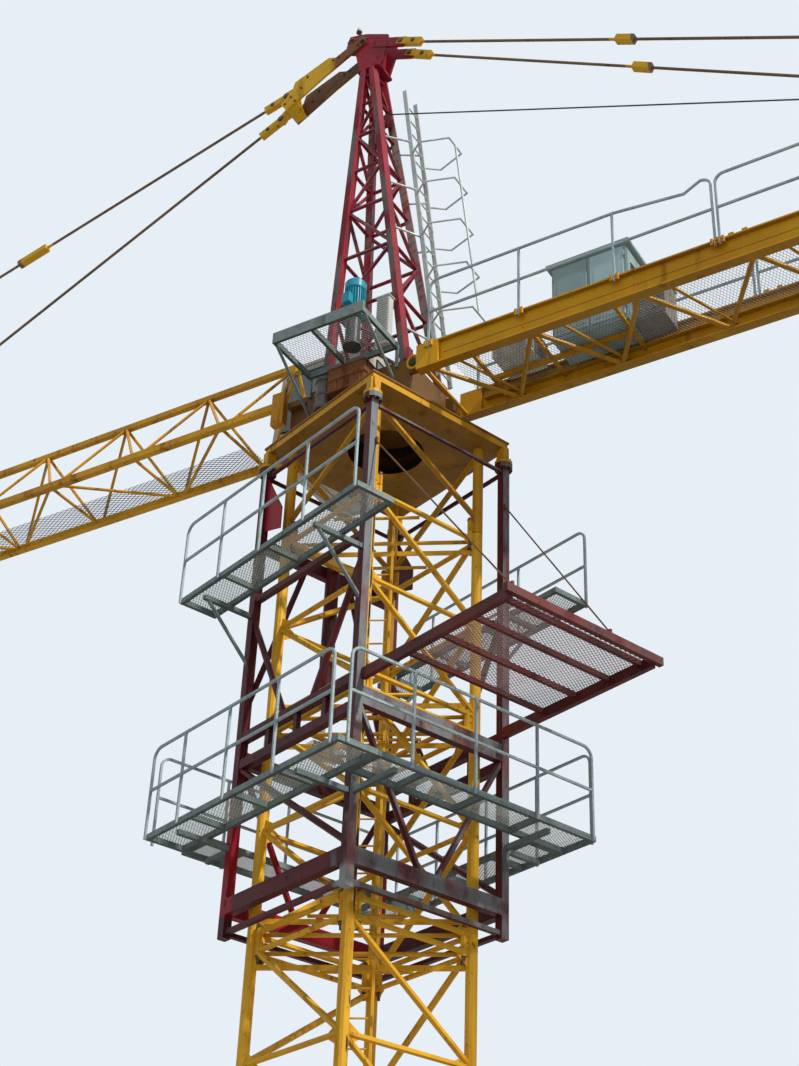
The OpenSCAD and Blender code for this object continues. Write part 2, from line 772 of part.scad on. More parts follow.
// ladder behind the cathead, with safety hoops
cat_ladder_w = 300;
hoop_pitch = 800;
cat_ladder_a = [-660, -100, plat_z1 + 100];
cat_ladder_b = [45, -100, head_z - 750];
hoop = [[0, 0], [-200, 150], [-600, 20], [-600, -320], [-200, -450], [0, -300]];
hoop_top = head_z - 2100;
function ladder_at(z) =
  lerp(cat_ladder_a, cat_ladder_b, (z - cat_ladder_a[2]) / (cat_ladder_b[2] - cat_ladder_a[2]));
module cathead_ladder() {
  a = cat_ladder_a;
  b = cat_ladder_b;
  far = [0, -cat_ladder_w, 0];
  strap = [-600, -cat_ladder_w / 2, 0];
  color(pale)
    top_frame() {
      for (w = [[0, 0, 0], far]) beam(a + w, b + w, 25, 60);
      for (z = [a[2] + 110 : 280 : b[2] - 60]) rod(ladder_at(z), ladder_at(z) + far, 22);
      for (k = [0 : 4], j = [0 : 4]) {
        c = ladder_at(hoop_top - k * hoop_pitch);
        p = c + [hoop[j][0], hoop[j][1], 3 * (j % 2)];
        q = c + [hoop[j + 1][0], hoop[j + 1][1], 3 * (j % 2)];
        over = 7 * (q - p) / norm(q - p);
        rod(p - (j == 0 ? [0, 0, 0] : over), q + (j == 4 ? [0, 0, 0] : over), 26);
      }
      rod(ladder_at(hoop_top) + strap, ladder_at(hoop_top - 4 * hoop_pitch) + strap, 34);
      difference() {
        for (t = [0.1, 0.45, 0.62, 0.8], j = [0, 1]) {
          c = lerp(a, b, t);
          rod(c + far * (1 - j), cat_at(0, j, (c[2] - cat_z0) / (cat_z1 - cat_z0)), 30);
        }
        cathead_legs(2 * fit);
      }
    }
}

module operator_cab() {
  color(pale)
    top_frame()
      translate([0, -640, 0]) rotate([90, 0, 0])
        linear_extrude(height = 1150)
          polygon([[750, 14680], [1850, 14680], [2250, 15350], [2150, 16550], [750, 16550]]);
}

root_s = 1385;
function top_s_at(i) = jib_s0 + bay / 2 + i * bay;
function top_node(i) = [top_s_at(i), 0, jib_z1];
function low_node(i, j) = [jib_s0 + i * bay, j * jib_w, jib_z0];

// bays a to b of the jib, with pin plates at the joints
module jib_section(a, b) {
  s0 = a == 0 ? root_s + fit : jib_s0 + a * bay + 3;
  s1 = jib_s0 + b * bay - 3;
  t0 = a == 0 ? top_s_at(-1) - 40 : top_s_at(a) - bay + 3;
  t1 = b == jib_bays ? top_s_at(b - 1) + 40 : top_s_at(b - 1) - 3;
  color(yellow)
    top_frame() {
      for (j = [-1, 1])
        beam([s0, j * jib_w, jib_z0], [s1, j * jib_w, jib_z0], chord_b, chord_b);
      beam([t0, 0, jib_z1], [t1, 0, jib_z1], chord_t, chord_t);
      for (i = [a : b - 1], j = [-1, 1]) {
        rod(low_node(i, j) + [web_t, 0, 0], top_node(i) - [i == b - 1 ? 1.6 * web_t : 0, 0, 0], web_t);
        rod(top_node(i) - [i == b - 1 ? 1.6 * web_t : 0, 0, 0], low_node(i + 1, j) - [web_t, 0, 0], web_t);
      }
      for (i = [a : b - 1]) {
        rod(low_node(i, -1) + [web_t, 0, 0], low_node(i, 1) + [web_t, 0, 0], web_t);
        rod(low_node(i, 1 - 2 * (i % 2)) + [web_t, 0, 0],
            low_node(i + 1, 2 * (i % 2) - 1) - [web_t, 0, 0], web_t);
      }
      rod(low_node(b, -1) - [web_t, 0, 0], low_node(b, 1) - [web_t, 0, 0], web_t);
      if (a == 0)
        for (j = [-1, 1]) {
          rod(top_node(-1), low_node(0, j) - [web_t, 0, 0], web_t);
          rod([top_s_at(-1) - 20, 0, jib_z1], [s0 + 30, j * jib_w, jib_z0], web_t);
        }
    }
}

module jib_walkway() {
  color(pale)
    top_frame()
      block([jib_s0, -jib_w + chord_b / 2 + 3, jib_z0 + 40],
            [jib_s0 + jib_bays * bay - 60, -60, jib_z0 + 40 + mesh_t]);
}

// two side plates from the head to the stay fittings, with a box between their ends
link_w = cheek_w + cheek_t + fit;
link_t = 30;
lug_out = [2070, 0, head_z + 90];
lug_in = [2130, 0, head_z - 365];
lug_t = 40;
module link_plate() {
  polygon([[-40, 45], [30, 90], [470, -110], [600, -50], [1180, -260], [1220, -410],
           [1410, -610], [1300, -800], [640, -415], [-60, -60]]);
}

module jib_stay_links() {
  color(yellow)
    top_frame() {
      difference() {
        for (i = [-1, 1])
          translate(pin_front + [0, i * (link_w + link_t / 2) + link_t / 2, 0])
            rotate([90, 0, 0]) linear_extrude(height = link_t) link_plate();
        rod(pin_front - [0, 200, 0], pin_front + [0, 200, 0], pin_d + 2 * fit, round_sides);
      }
      translate(pin_front + [0, link_w + 2, 0]) rotate([90, 0, 0])
        linear_extrude(height = 2 * link_w + 4)
          polygon([[1120, -740], [1290, -800], [1400, -610], [1240, -450]]);
      translate(pin_front + [0, lug_t / 2, 0]) rotate([90, 0, 0])
        linear_extrude(height = lug_t)
          polygon([[1130, -700], [1530, -850], [1560, -700], [1420, -580], [1480, -320],
                   [1470, -210], [1330, -180], [1180, -420]]);
      for (q = [lug_out, lug_in]) rod(q - [0, 55, 0], q + [0, 55, 0], pin_d, round_sides);
    }
}

function lerp(a, b, t) = a + (b - a) * t;

// stay rod with thicker connectors on the way
module stay(a, b, ts) {
  rod(a, b, stay_d, few_sides);
  for (t = ts)
    beam(lerp(a, b, t - 0.012), lerp(a, b, t + 0.012), 110, 90);
}

// stay from a lug plate to a foot point, with a fork around the plate at its start
module forked_stay(pin, foot, ts, t, reach) {
  u = (foot - pin) / norm(foot - pin);
  v = [u[0], 0, u[2]];
  difference() {
    union() {
      stay(pin + u * 120, foot, ts);
      beam(pin - u * 60, pin + u * 400, t + 44, 110);
    }
    beam(pin - v * 100, pin + v * reach, t + 2 * fit, 300);
    rod(pin - [0, 100, 0], pin + [0, 100, 0], pin_d + 2 * fit, round_sides);
  }
}

module jib_stay(pin, i, ts) {
  color(yellow)
    top_frame() {
      forked_stay(pin, top_node(i) + [0, 0, 140], ts, lug_t, 110);
      translate(top_node(i)) block([-70, -25, chord_t / 2 + fit], [70, 25, 200]);
    }
}

module inner_jib_stay() {
  jib_stay(lug_in, stay_in, [0.49]);
}

module outer_jib_stay() {
  jib_stay(lug_out, stay_out, [0.2, 0.5, 0.8]);
}

module counter_jib() {
  n = floor((cj_len - 2200) / lace);
  zc = cj_z0 + cj_h / 2;
  color(yellow)
    top_frame() {
      for (j = [-1, 1]) {
        difference() {
          block([-cj_len, j * cj_w - cj_t / 2, cj_z0], [-cj_s0 - 100, j * cj_w + cj_t / 2, cj_z0 + cj_h]);
          for (k = [-1, 1])
            block([-cj_len - 1, j * cj_w + k * (cj_t / 2 + 12 / 2) - cj_t / 2, cj_z0 + 22],
                  [-cj_s0 - 400, j * cj_w + k * (cj_t / 2 + 12 / 2) + cj_t / 2, cj_z0 + cj_h - 22]);
        }
        // ledge that carries the floor
        block([-floor_b, j * (cj_w - cj_t / 4) - cj_t / 4 - 14, floor_z - 12 - fit],
              [-floor_a, j * (cj_w - cj_t / 4) + cj_t / 4 + 14, floor_z - fit]);
        block([-cj_s0 - 110, j * cj_w - 25, zc - 80], [-cj_s0 + 30, j * cj_w + 25, zc + 80]);
      }
      for (i = [0 : n - 1])
        rod(lace_node(i), lace_node(i + 1), 60);
      for (i = [0 : 2 : n - 1])
        rod(lace_node(i) - [320, 0, -30], lace_node(i + 1) - [80, 0, -30], 36);
      for (s = [-cj_s0 - 180, -cj_len + 60, -cj_len + 1260])
        rod([s, -cj_w, cj_z0 + 40], [s, cj_w, cj_z0 + 40], 60);
      for (s = [-floor_a - 300, -2200, -3250])
        block([s - 20, -cj_w, floor_z - 45], [s + 20, cj_w, floor_z - fit]);
      block([-3250, -200, floor_z - 58], [-floor_a - 300, -140, floor_z - fit - 1]);
    }
}

function lace_node(i) =
  [-cj_s0 - 245 - i * lace, (1 - 2 * (i % 2)) * (cj_w - 20), cj_z0 + 40];
floor_z = cj_z0 + 185;
floor_a = cj_s0 + 440;
floor_b = cj_len - 2900;
// mesh floors of the counter-jib and of the motor platform
module counter_jib_mesh() {
  color(pale)
    top_frame() {
      block([-floor_b, -cj_w + cj_t / 2 + 3, floor_z], [-floor_a, cj_w - cj_t / 2 - 3, floor_z + mesh_t]);
      block([mp_a + 5, mp_w0 + 115, mp_mesh_z], [mp_b - 5, mp_w1 - 45, mp_mesh_z + mesh_t]);
      block([-145, mp_w0 + 45, mp_mesh_z], [mp_b - 5, mp_w0 + 120, mp_mesh_z + mesh_t]);
    }
}

// rail lengths: start, number of posts
cj_rails = [[920, 3], [4650, 4]];
module counter_jib_handrails() {
  color(pale)
    top_frame()
      for (m = [0, 1], r = cj_rails)
        mirror([0, m, 0])
          translate([0, cj_w + cj_t / 2 + rail_d + fit, cj_z0 + cj_h - 90]) rotate([90, 0, 0])
            linear_extrude(height = rail_d) {
              len = r[1] * post_pitch;
              t = rail_h + 50;
              bent = m == 0 && r[0] == cj_rails[0][0];
              x0 = -r[0] - 2 * post_pitch - 30;
              x1 = -r[0] - len + 110;
              difference() {
                rail_shape(-r[0] - len - rail_d, -r[0], t, 130);
                translate([0, -rail_d]) rail_shape(-r[0] - len, -r[0] - rail_d, t, 130 - rail_d);
                translate([-r[0] - len - 50, -2 * t]) square([len + 100, 2 * t]);
                if (bent) translate([x1, t - rail_d - 1]) square([x0 - x1, rail_d + 2]);
              }
              // top bar that was bent down before its end
              if (bent)
                polygon([[x0 + 2, t], [x1 + 200, t - 110], [x1 - 2, t], [x1 - 2, t - rail_d],
                         [x1 + 200, t - 110 - rail_d], [x0 + 2, t - rail_d]]);
              translate([-r[0] - len, 90 + rail_h / 2 - 60]) square([len - rail_d / 2, rail_d]);
              for (k = [1 : r[1] - 1])
                translate([-r[0] - k * post_pitch - rail_d, 0]) square([rail_d, t - rail_d / 2]);
            }
}

cab_roof_z = plat_z1 + 1000;
module electrical_cabinet() {
  z = floor_z + mesh_t + fit;
  color([0.36, 0.48, 0.55])
    top_frame() {
      block([-3300, -420, z], [-2320, 60, cab_roof_z]);
      block([-3360, -480, cab_roof_z], [-2260, 110, cab_roof_z + 40]);
    }
}

module cable_box() {
  z = floor_z + mesh_t + fit;
  color(grey) top_frame() block([-3710, -420, z], [-3310, -60, z + 560]);
}

module resistor_boxes() {
  z = floor_z + mesh_t + fit;
  color(pale)
    top_frame() {
      block([-2050, -330, z], [-1550, 150, z + 330]);
      block([-330, mp_w0 + 10, mp_z + 20 + fit], [-150, mp_w0 + 110, 15970]);
    }
}

module counter_jib_stays() {
  color(yellow)
    top_frame()
      for (j = [-1, 1]) {
        foot = [-cj_stay, j * cj_w, cj_z0 + cj_h + 110];
        forked_stay(pin_back + [0, j * arm_w, 0], foot, [0.329, 0.66], arm_t, 110);
        translate(foot - [0, 0, 110 - fit]) block([-70, -25, 0], [70, 25, 160]);
      }
}

// drum axis of the hoist, in front of the stay feet
winch_s = cj_stay - 1270;
winch_half = cj_w - cj_t / 2 + 25;
drum_z = cj_z0 + cj_h + 330;
drum_d = 380;
rope_d = 22;
module hoist_winch() {
  z = cj_z0 + cj_h + fit;
  color([0.20, 0.35, 0.55])
    top_frame() {
      block([-winch_s - 420, -winch_half, z], [-winch_s + 430, winch_half, z + 60]);
      translate([-winch_s, 360, drum_z]) rotate([90, 0, 0]) cylinder(h = 720, d = drum_d);
      for (j = [-1, 1])
        block([-winch_s - 220, j * 380 - 40, z + 60], [-winch_s + 220, j * 380 + 40, z + 570]);
      block([-winch_s + 240, -300, z + 60], [-winch_s + 400, 300, z + 330]);
    }
}

// rope from the top of the drum to the top of the sheave
module hoist_rope() {
  r = rope_d / 2 + fit;
  q = lerp(cat_at(0, 0, sheave_t), cat_at(0, 1, sheave_t), 0.5);
  run = [q[0] + winch_s, q[2] - drum_z];
  tilt = atan2(run[1], run[0]) - asin((drum_d / 2 - sheave_r) / norm(run));
  up = [-sin(tilt), 0, cos(tilt)];
  color(steel)
    top_frame()
      rod([-winch_s, 0, drum_z] + up * (drum_d / 2 + r), q + up * (sheave_r + r), rope_d);
}

module counterweights() {
  ear = cj_w - cj_t / 2 + 30;
  color(concrete)
    top_frame()
      for (k = [0 : 3])
        translate([-cj_len + 120 + k * 270, 0, 0]) {
          block([0, -cj_w + cj_t / 2 + 15, cj_z0 - 1310], [240, cj_w - cj_t / 2 - 15, cj_z0 + cj_h + 260]);
          block([0, -ear, cj_z0 + cj_h + fit], [240, ear, cj_z0 + cj_h + 259]);
        }
}

base_frame();
mast_section(1);  // mast_section_1
mast_section(2);  // mast_section_2
mast_section(3);  // mast_section_3
mast_section(4);  // mast_section_4
mast_section(5);  // mast_section_5
mast_ladder();
jacking_yoke();
cage_legs();
cage_left_side();
cage_right_side();
cage_back_side();
cage_front_side();
cage_lower_ring();
lower_walkway();
lower_walkway_mesh();
lower_handrails();
upper_walkway();
upper_walkway_mesh();
upper_handrails();
feed_platform();
feed_platform_mesh();
feed_platform_ties();
jacking_cylinder();
slewing_frame();
slewing_frame_legs();
lower_slewing_ring();
upper_slewing_ring();
slewing_platform();
slewing_gearbox();
slewing_motor();
motor_platform();
cathead();
cathead_head();
cathead_ladder();
operator_cab();
jib_section(0, 4);  // jib_section_1
jib_section(4, 8);  // jib_section_2
jib_section(8, 12);  // jib_section_3
jib_section(12, jib_bays);  // jib_section_4
jib_walkway();
jib_stay_links();
inner_jib_stay();
outer_jib_stay();
counter_jib();
counter_jib_mesh();
counter_jib_handrails();
electrical_cabinet();
cable_box();
resistor_boxes();
counter_jib_stays();
hoist_winch();
hoist_rope();
counterweights();
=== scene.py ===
"""Looks of the tower crane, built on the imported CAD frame."""

import math

import bpy
from mathutils import Matrix, Vector


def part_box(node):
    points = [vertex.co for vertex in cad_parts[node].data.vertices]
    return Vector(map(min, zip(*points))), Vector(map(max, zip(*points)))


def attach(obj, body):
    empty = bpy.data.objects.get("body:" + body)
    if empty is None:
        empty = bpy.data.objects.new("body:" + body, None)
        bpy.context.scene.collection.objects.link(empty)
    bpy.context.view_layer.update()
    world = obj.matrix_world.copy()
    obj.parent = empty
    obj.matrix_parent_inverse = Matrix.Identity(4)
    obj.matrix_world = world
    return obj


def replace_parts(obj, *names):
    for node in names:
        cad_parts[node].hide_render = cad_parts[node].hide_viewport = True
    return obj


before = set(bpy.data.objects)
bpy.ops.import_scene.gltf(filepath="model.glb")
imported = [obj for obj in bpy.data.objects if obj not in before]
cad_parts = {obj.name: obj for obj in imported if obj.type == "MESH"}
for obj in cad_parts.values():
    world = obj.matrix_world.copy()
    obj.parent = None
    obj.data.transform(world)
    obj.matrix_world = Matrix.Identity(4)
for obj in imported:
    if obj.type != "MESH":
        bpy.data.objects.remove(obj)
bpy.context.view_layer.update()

# Sizes of the CAD model that the small parts are fitted to, in metres.
# Points of the slewing top are s along the jib, w to its left and z up
MAST_HALF = 0.8
CAGE_HALF = 1.017
BASE_H = 0.3
SECTION_H = 2.5
SECTIONS = 5
DECK_W = 0.49
LOW_DECK_Z = 8.93
UP_DECK_Z = 11.8
JIB_ANGLE = math.radians(109.1)
JIB_S0 = 2.18
JIB_BAYS = 17
BAY = 1.4214
JIB_Z0 = 14.865
JIB_W = 0.508
CJ_Z0 = 14.61
CJ_H = 0.365
CJ_W = 0.541
CJ_T = 0.13
CJ_TOP = CJ_Z0 + CJ_H
CJ_END_S = -10.5
FLOOR_Z = CJ_Z0 + 0.185
POST_PITCH = 1.225
MOTOR_MESH_Z = 15.2203
PLAT_W = 0.47
HEAD_S = 0.52
HEAD_Z = 21.25
PIN_FRONT = (0.65, 21.65)
PIN_BACK = (-0.01, 21.285)
PULLEY = (HEAD_S + 0.345, HEAD_Z + 0.56)
LUG_OUT = (2.07, 21.34)
LUG_IN = (2.13, 20.885)
FOOT_OUT = (25.63, 16.05)
FOOT_IN = (12.84, 16.05)
WINCH_S = -9.23
DRUM_Z = 15.305

UP = (0, 0, 1)
DOWN = (0, 0, -1)
CORNERS = [(i, j) for i in (-1, 1) for j in (-1, 1)]


# Places

def top(s, w, z):
    """Point of the slewing top."""
    c, n = math.cos(JIB_ANGLE), math.sin(JIB_ANGLE)
    return Vector((s * c - w * n, s * n + w * c, z))


def turned(degrees):
    """Placing of points on a side that is turned about the mast axis."""
    c, n = math.cos(math.radians(degrees)), math.sin(math.radians(degrees))
    return lambda x, y, z: Vector((x * c - y * n, x * n + y * c, z))


def around(count, shift=0.0):
    """Cosine and sine at even steps round a circle."""
    steps = [math.tau * (k + shift) / count for k in range(count)]
    return [(math.cos(a), math.sin(a)) for a in steps]


S_DIR = tuple(top(1, 0, 0))
W_DIR = tuple(top(0, 1, 0))
# from the mast axis to the leg nearest the camera
NEAR_DIR = (-0.7071, -0.7071, 0)


# Materials

class Shader:
    """A material's node tree with short calls for the nodes used here."""

    def __init__(self, name):
        self.material = bpy.data.materials.new(name)
        self.material.use_nodes = True
        self.tree = self.material.node_tree
        self.tree.nodes.clear()
        self.link = self.tree.links.new
        self.bsdf = self.node("BsdfPrincipled")
        self.link(self.bsdf.outputs[0], self.node("OutputMaterial").inputs[0])
        self.coords = self.node("TexCoord")

    def node(self, kind, **values):
        """A new node with the inputs of these names set; an underscore stands for a space."""
        n = self.tree.nodes.new("ShaderNode" + kind)
        for key, value in values.items():
            n.inputs[key.replace("_", " ")].default_value = value
        return n

    def give(self, value, socket):
        """A number or a colour is set on the socket, another node's output is linked to it."""
        if isinstance(value, float):
            socket.default_value = value
        elif isinstance(value, tuple):
            socket.default_value = (*value, 1.0)
        else:
            self.link(value, socket)

    def noise(self, scale, detail=4.0, rough=0.55, stretch=(1, 1, 1), shift=0.0):
        place = self.node("Mapping", Scale=stretch, Location=(shift, shift * 0.7, shift * 1.3))
        self.link(self.coords.outputs["Object"], place.inputs["Vector"])
        n = self.node("TexNoise", Scale=scale, Detail=detail, Roughness=rough)
        self.link(place.outputs[0], n.inputs["Vector"])
        return n.outputs["Fac"]

    def cells(self, scale):
        n = self.node("TexVoronoi", Scale=scale)
        self.link(self.coords.outputs["Object"], n.inputs["Vector"])
        return n

    def ramp(self, value, lo, hi, a=0.0, b=1.0):
        """Smooth step from a to b where the value goes from lo to hi."""
        r = self.node("MapRange", From_Min=lo, From_Max=hi, To_Min=a, To_Max=b)
        r.interpolation_type = "SMOOTHSTEP"
        self.link(value, r.inputs["Value"])
        return r.outputs["Result"]

    def mix(self, factor, a, b):
        m = self.node("Mix")
        m.data_type = "RGBA"
        self.link(factor, m.inputs[0])
        self.give(a, m.inputs[6])
        self.give(b, m.inputs[7])
        return m.outputs[2]

    def math(self, kind, a, b):
        m = self.node("Math")
        m.operation = kind
        m.use_clamp = True
        self.give(a, m.inputs[0])
        self.give(b, m.inputs[1])
        return m.outputs[0]

    def layer(self, colour, mask, amount, tone):
        """The tone laid over the colour, as much as amount where the mask is 1."""
        return self.mix(self.math("MULTIPLY", mask, amount), colour, tone)

    def part(self, output, direction, lo, hi):
        dot = self.node("VectorMath")
        dot.operation = "DOT_PRODUCT"
        dot.inputs[1].default_value = direction
        self.link(self.coords.outputs[output], dot.inputs[0])
        return self.ramp(dot.outputs["Value"], lo, hi)

    def facing(self, direction, lo, hi):
        """1 where the surface faces that way at rest."""
        return self.part("Normal", direction, lo, hi)

    def along(self, direction, lo, hi):
        """0 to 1 from lo to hi metres in that direction, at rest."""
        return self.part("Object", direction, lo, hi)

    def height(self, lo, hi):
        return self.along(UP, lo, hi)

    def all_of(self, *masks):
        product = masks[0]
        for m in masks[1:]:
            product = self.math("MULTIPLY", product, m)
        return product

    def outside(self, mask):
        return self.math("SUBTRACT", 1.0, mask)

    def shaded_underside(self):
        """Blotchy mask of the faces that look down, for painted shade on the undersides."""
        blotches = self.ramp(self.noise(2.5, 5.0), 0.15, 0.6, 0.6, 1.0)
        return self.all_of(self.facing(DOWN, 0.5, 0.95), blotches)

    def finish(self, colour, rough, relief, strength, distance, metal=0.0):
        self.link(colour, self.bsdf.inputs["Base Color"])
        self.give(rough, self.bsdf.inputs["Roughness"])
        self.bsdf.inputs["Metallic"].default_value = metal
        self.bsdf.inputs["Specular IOR Level"].default_value = 0.15 if metal < 0.3 else 0.5
        bump = self.node("Bump", Strength=strength, Distance=distance)
        self.link(relief, bump.inputs["Height"])
        self.link(bump.outputs[0], self.bsdf.inputs["Normal"])
        return self.material


RUST = (0.105, 0.036, 0.012)
DARK = (0.03, 0.023, 0.019)
# painted shade with grime, laid on the faces that look down
SHADE_AND_GRIME = (0.1, 0.048, 0.012)


def paint(name, base, second, streaks=0.5, chips=0.5, chip_at=0.6, wash=0.35,
          rough=0.42, fine=16.0, dust=None, over=(), under=0.0):
    """Old paint: two tones, long vertical streaks, small rusty chips, paler tops and, where under is set,
    painted shade with grime on the undersides.
    """
    s = Shader(name)
    colour = s.layer(base, s.ramp(s.noise(0.9, 3.0), 0.38, 0.66), wash * 2.0, second)
    for mask, tone in over:
        colour = s.mix(mask(s), colour, tone)
    run = s.ramp(s.noise(5.0, 5.0, 0.6, (1, 1, 0.1), 3.1), 0.54, 0.74)
    colour = s.layer(colour, run, streaks, RUST)
    if dust:
        up = s.all_of(s.facing(UP, 0.3, 0.95), s.ramp(s.noise(6.0), 0.3, 0.7))
        colour = s.layer(colour, up, 0.7, dust)
    # painted shade with grime on the faces that look down
    if under:
        colour = s.layer(colour, s.shaded_underside(), under, SHADE_AND_GRIME)
    chip = s.ramp(s.noise(fine, 8.0, 0.68, (1, 1, 0.45), 7.7), chip_at, chip_at + 0.05)
    colour = s.layer(colour, chip, chips, DARK)
    fleck = s.ramp(s.noise(fine * 2.3, 6.0, 0.7, (1, 1, 0.7), 1.9), 0.63, 0.68)
    colour = s.layer(colour, fleck, chips * 0.8, RUST)
    gloss = s.ramp(s.math("MAXIMUM", chip, run), 0.0, 1.0, rough, 0.85)
    relief = s.math("SUBTRACT", s.noise(60.0, 3.0), s.math("MULTIPLY", chip, 0.8))
    return s.finish(colour, gloss, relief, 0.35, 0.003)


def cage_spots(s, colour, red):
    """Brighter red on the far feet and the corner plate, pale grey on the corner nearest the camera."""
    far, left = (0, 1, 0), (-1, 0, 0)
    foot = s.all_of(s.height(8.05, 8.1), s.outside(s.height(8.9, 9.6)), s.along(far, 0.8, 0.93))
    plate = s.all_of(s.height(12.55, 12.6), s.outside(s.height(13.62, 13.65)), s.along(left, 0.98, 1.0),
                     s.along(far, 0.6, 0.64), s.outside(s.along(far, 0.962, 0.968)))
    colour = s.mix(s.math("MAXIMUM", foot, plate), colour, red)
    patches = s.ramp(s.noise(2.4, 5.0, 0.6, (1, 1, 0.35), 8.0), 0.38, 0.54)
    sunny = s.math("MAXIMUM", s.facing((0, -1, 0), 0.3, 0.8), s.outside(s.height(8.55, 8.65)))
    corner = s.all_of(s.along(NEAR_DIR, 1.3, 1.42), patches, sunny)
    colour = s.layer(colour, corner, 0.8, (0.23, 0.27, 0.3))
    stub = s.all_of(s.along(NEAR_DIR, 1.3, 1.4), s.outside(s.height(8.02, 8.1)))
    return s.layer(colour, stub, 0.7, (0.33, 0.36, 0.38))


def bleached(name, base, second, pale_a, pale_b, amount, low=None, toward=(0, -1, 0.25), top_z=30.0):
    """Dark red paint, bleached below top_z on the faces that look one way, with bare spots."""
    s = Shader(name)
    colour = s.mix(s.ramp(s.noise(1.3, 4.0), 0.4, 0.65), base, second)
    if low:
        colour = cage_spots(s, colour, low)
    pale = s.mix(s.ramp(s.noise(2.3, 5.0, 0.6, (1, 1, 0.5), 4.0), 0.46, 0.6), pale_a, pale_b)
    patches = s.ramp(s.noise(3.1, 6.0, 0.65, (1, 1, 0.4), 2.0), 0.3, 0.56)
    mask = s.all_of(s.facing(toward, 0.45, 0.9), patches, s.outside(s.height(top_z - 0.2, top_z)))
    if low:
        mask = s.all_of(mask, s.along((0, -1, 0), 0.9, 0.96))
    colour = s.layer(colour, mask, amount, pale)
    run = s.ramp(s.noise(6.0, 5.0, 0.6, (1, 1, 0.12), 9.1), 0.56, 0.76)
    colour = s.layer(colour, run, 0.5, (0.05, 0.02, 0.015))
    chip = s.ramp(s.noise(15.0, 8.0, 0.68, (1, 1, 0.5), 5.5), 0.59, 0.64)
    colour = s.layer(colour, chip, 0.6, DARK)
    gloss = s.ramp(s.math("MAXIMUM", chip, mask), 0.0, 1.0, 0.42, 0.8)
    relief = s.math("SUBTRACT", s.noise(55.0, 3.0), s.math("MULTIPLY", chip, 0.8))
    return s.finish(colour, gloss, relief, 0.35, 0.003)


def zinc(name, base, second, dark, metal=0.05, dirt=0.4, under=0.0):
    """Galvanised steel: spangle, dull patches, dirt runs and, where under is set, painted shade on the
    undersides.
    """
    s = Shader(name)
    spangle = s.node("RGBToBW")
    s.link(s.cells(45.0).outputs["Color"], spangle.inputs[0])
    colour = s.layer(base, s.ramp(spangle.outputs[0], 0.2, 0.8), 0.55, second)
    colour = s.layer(colour, s.ramp(s.noise(2.2, 5.0), 0.42, 0.64), 0.6, second)
    run = s.ramp(s.noise(7.0, 5.0, 0.6, (1, 1, 0.15), 6.0), 0.55, 0.75)
    colour = s.layer(colour, run, dirt, dark)
    # painted shade on the faces that look down, in the dirt colour
    if under:
        colour = s.layer(colour, s.shaded_underside(), under, dark)
    spot = s.ramp(s.noise(22.0, 7.0, 0.7, shift=2.5), 0.62, 0.67)
    colour = s.layer(colour, spot, dirt, (0.16, 0.065, 0.03))
    gloss = s.ramp(s.noise(9.0), 0.3, 0.7, 0.4, 0.7)
    return s.finish(colour, gloss, s.noise(80.0, 2.0), 0.2, 0.002, metal)


def plain_detail(name, base, second, scale, rough, metal=0.0, bump=0.3):
    """One material with cloudy colour and fine relief, for small parts."""
    s = Shader(name)
    colour = s.mix(s.ramp(s.noise(scale, 6.0, 0.65), 0.35, 0.68), base, second)
    spot = s.ramp(s.noise(scale * 4.0, 6.0, 0.7, shift=4.0), 0.6, 0.7)
    colour = s.layer(colour, spot, 0.35, DARK)
    gloss = s.ramp(s.noise(scale * 1.7, 4.0), 0.3, 0.7, rough - 0.08, rough + 0.12)
    return s.finish(colour, gloss, s.noise(scale * 6.0, 3.0), bump, 0.002, metal)


def concrete_look(name):
    """Rough cast concrete with dark runs, and pores painted dark as shade in the holes."""
    s = Shader(name)
    colour = s.mix(s.ramp(s.noise(2.0, 6.0, 0.6), 0.3, 0.7), (0.34, 0.33, 0.3), (0.5, 0.48, 0.44))
    run = s.ramp(s.noise(4.0, 5.0, 0.6, (1, 1, 0.12), 3.0), 0.5, 0.75)
    colour = s.layer(colour, run, 0.5, (0.14, 0.13, 0.115))
    solid = s.ramp(s.cells(38.0).outputs["Distance"], 0.05, 0.16)
    # the pores are painted dark: painted shade in the holes
    colour = s.mix(s.outside(solid), colour, (0.1, 0.095, 0.085))
    return s.finish(colour, 0.9, s.all_of(s.noise(30.0, 6.0, 0.7), solid), 0.5, 0.006)


def glass_look(name):
    """Dark window glass, a little dusty."""
    s = Shader(name)
    colour = s.mix(s.ramp(s.noise(3.0, 4.0), 0.3, 0.7), (0.07, 0.1, 0.105), (0.13, 0.17, 0.175))
    s.bsdf.inputs["Coat Weight"].default_value = 0.6
    rough = s.ramp(s.noise(6.0, 5.0), 0.3, 0.7, 0.05, 0.16)
    return s.finish(colour, rough, s.noise(0.8, 2.0), 0.05, 0.01)


def spans(*pairs):
    """Mask of the stretches along the jib between each pair of distances."""
    def mask(s):
        total = None
        for a, b in pairs:
            begun, ended = [s.along(S_DIR, x - 0.01, x + 0.01) for x in (a, b)]
            part = s.all_of(begun, s.outside(ended))
            total = part if total is None else s.math("MAXIMUM", total, part)
        return total
    return mask


def worn_leg(s):
    """Bare streaks down the mast leg nearest the camera."""
    streaks = s.ramp(s.noise(6.0, 6.0, 0.72, (1, 1, 0.22), 3.0), 0.5, 0.53)
    return s.all_of(s.along(NEAR_DIR, 1.06, 1.08), s.facing((0.38, -0.92, 0), 0.9, 0.96), streaks)


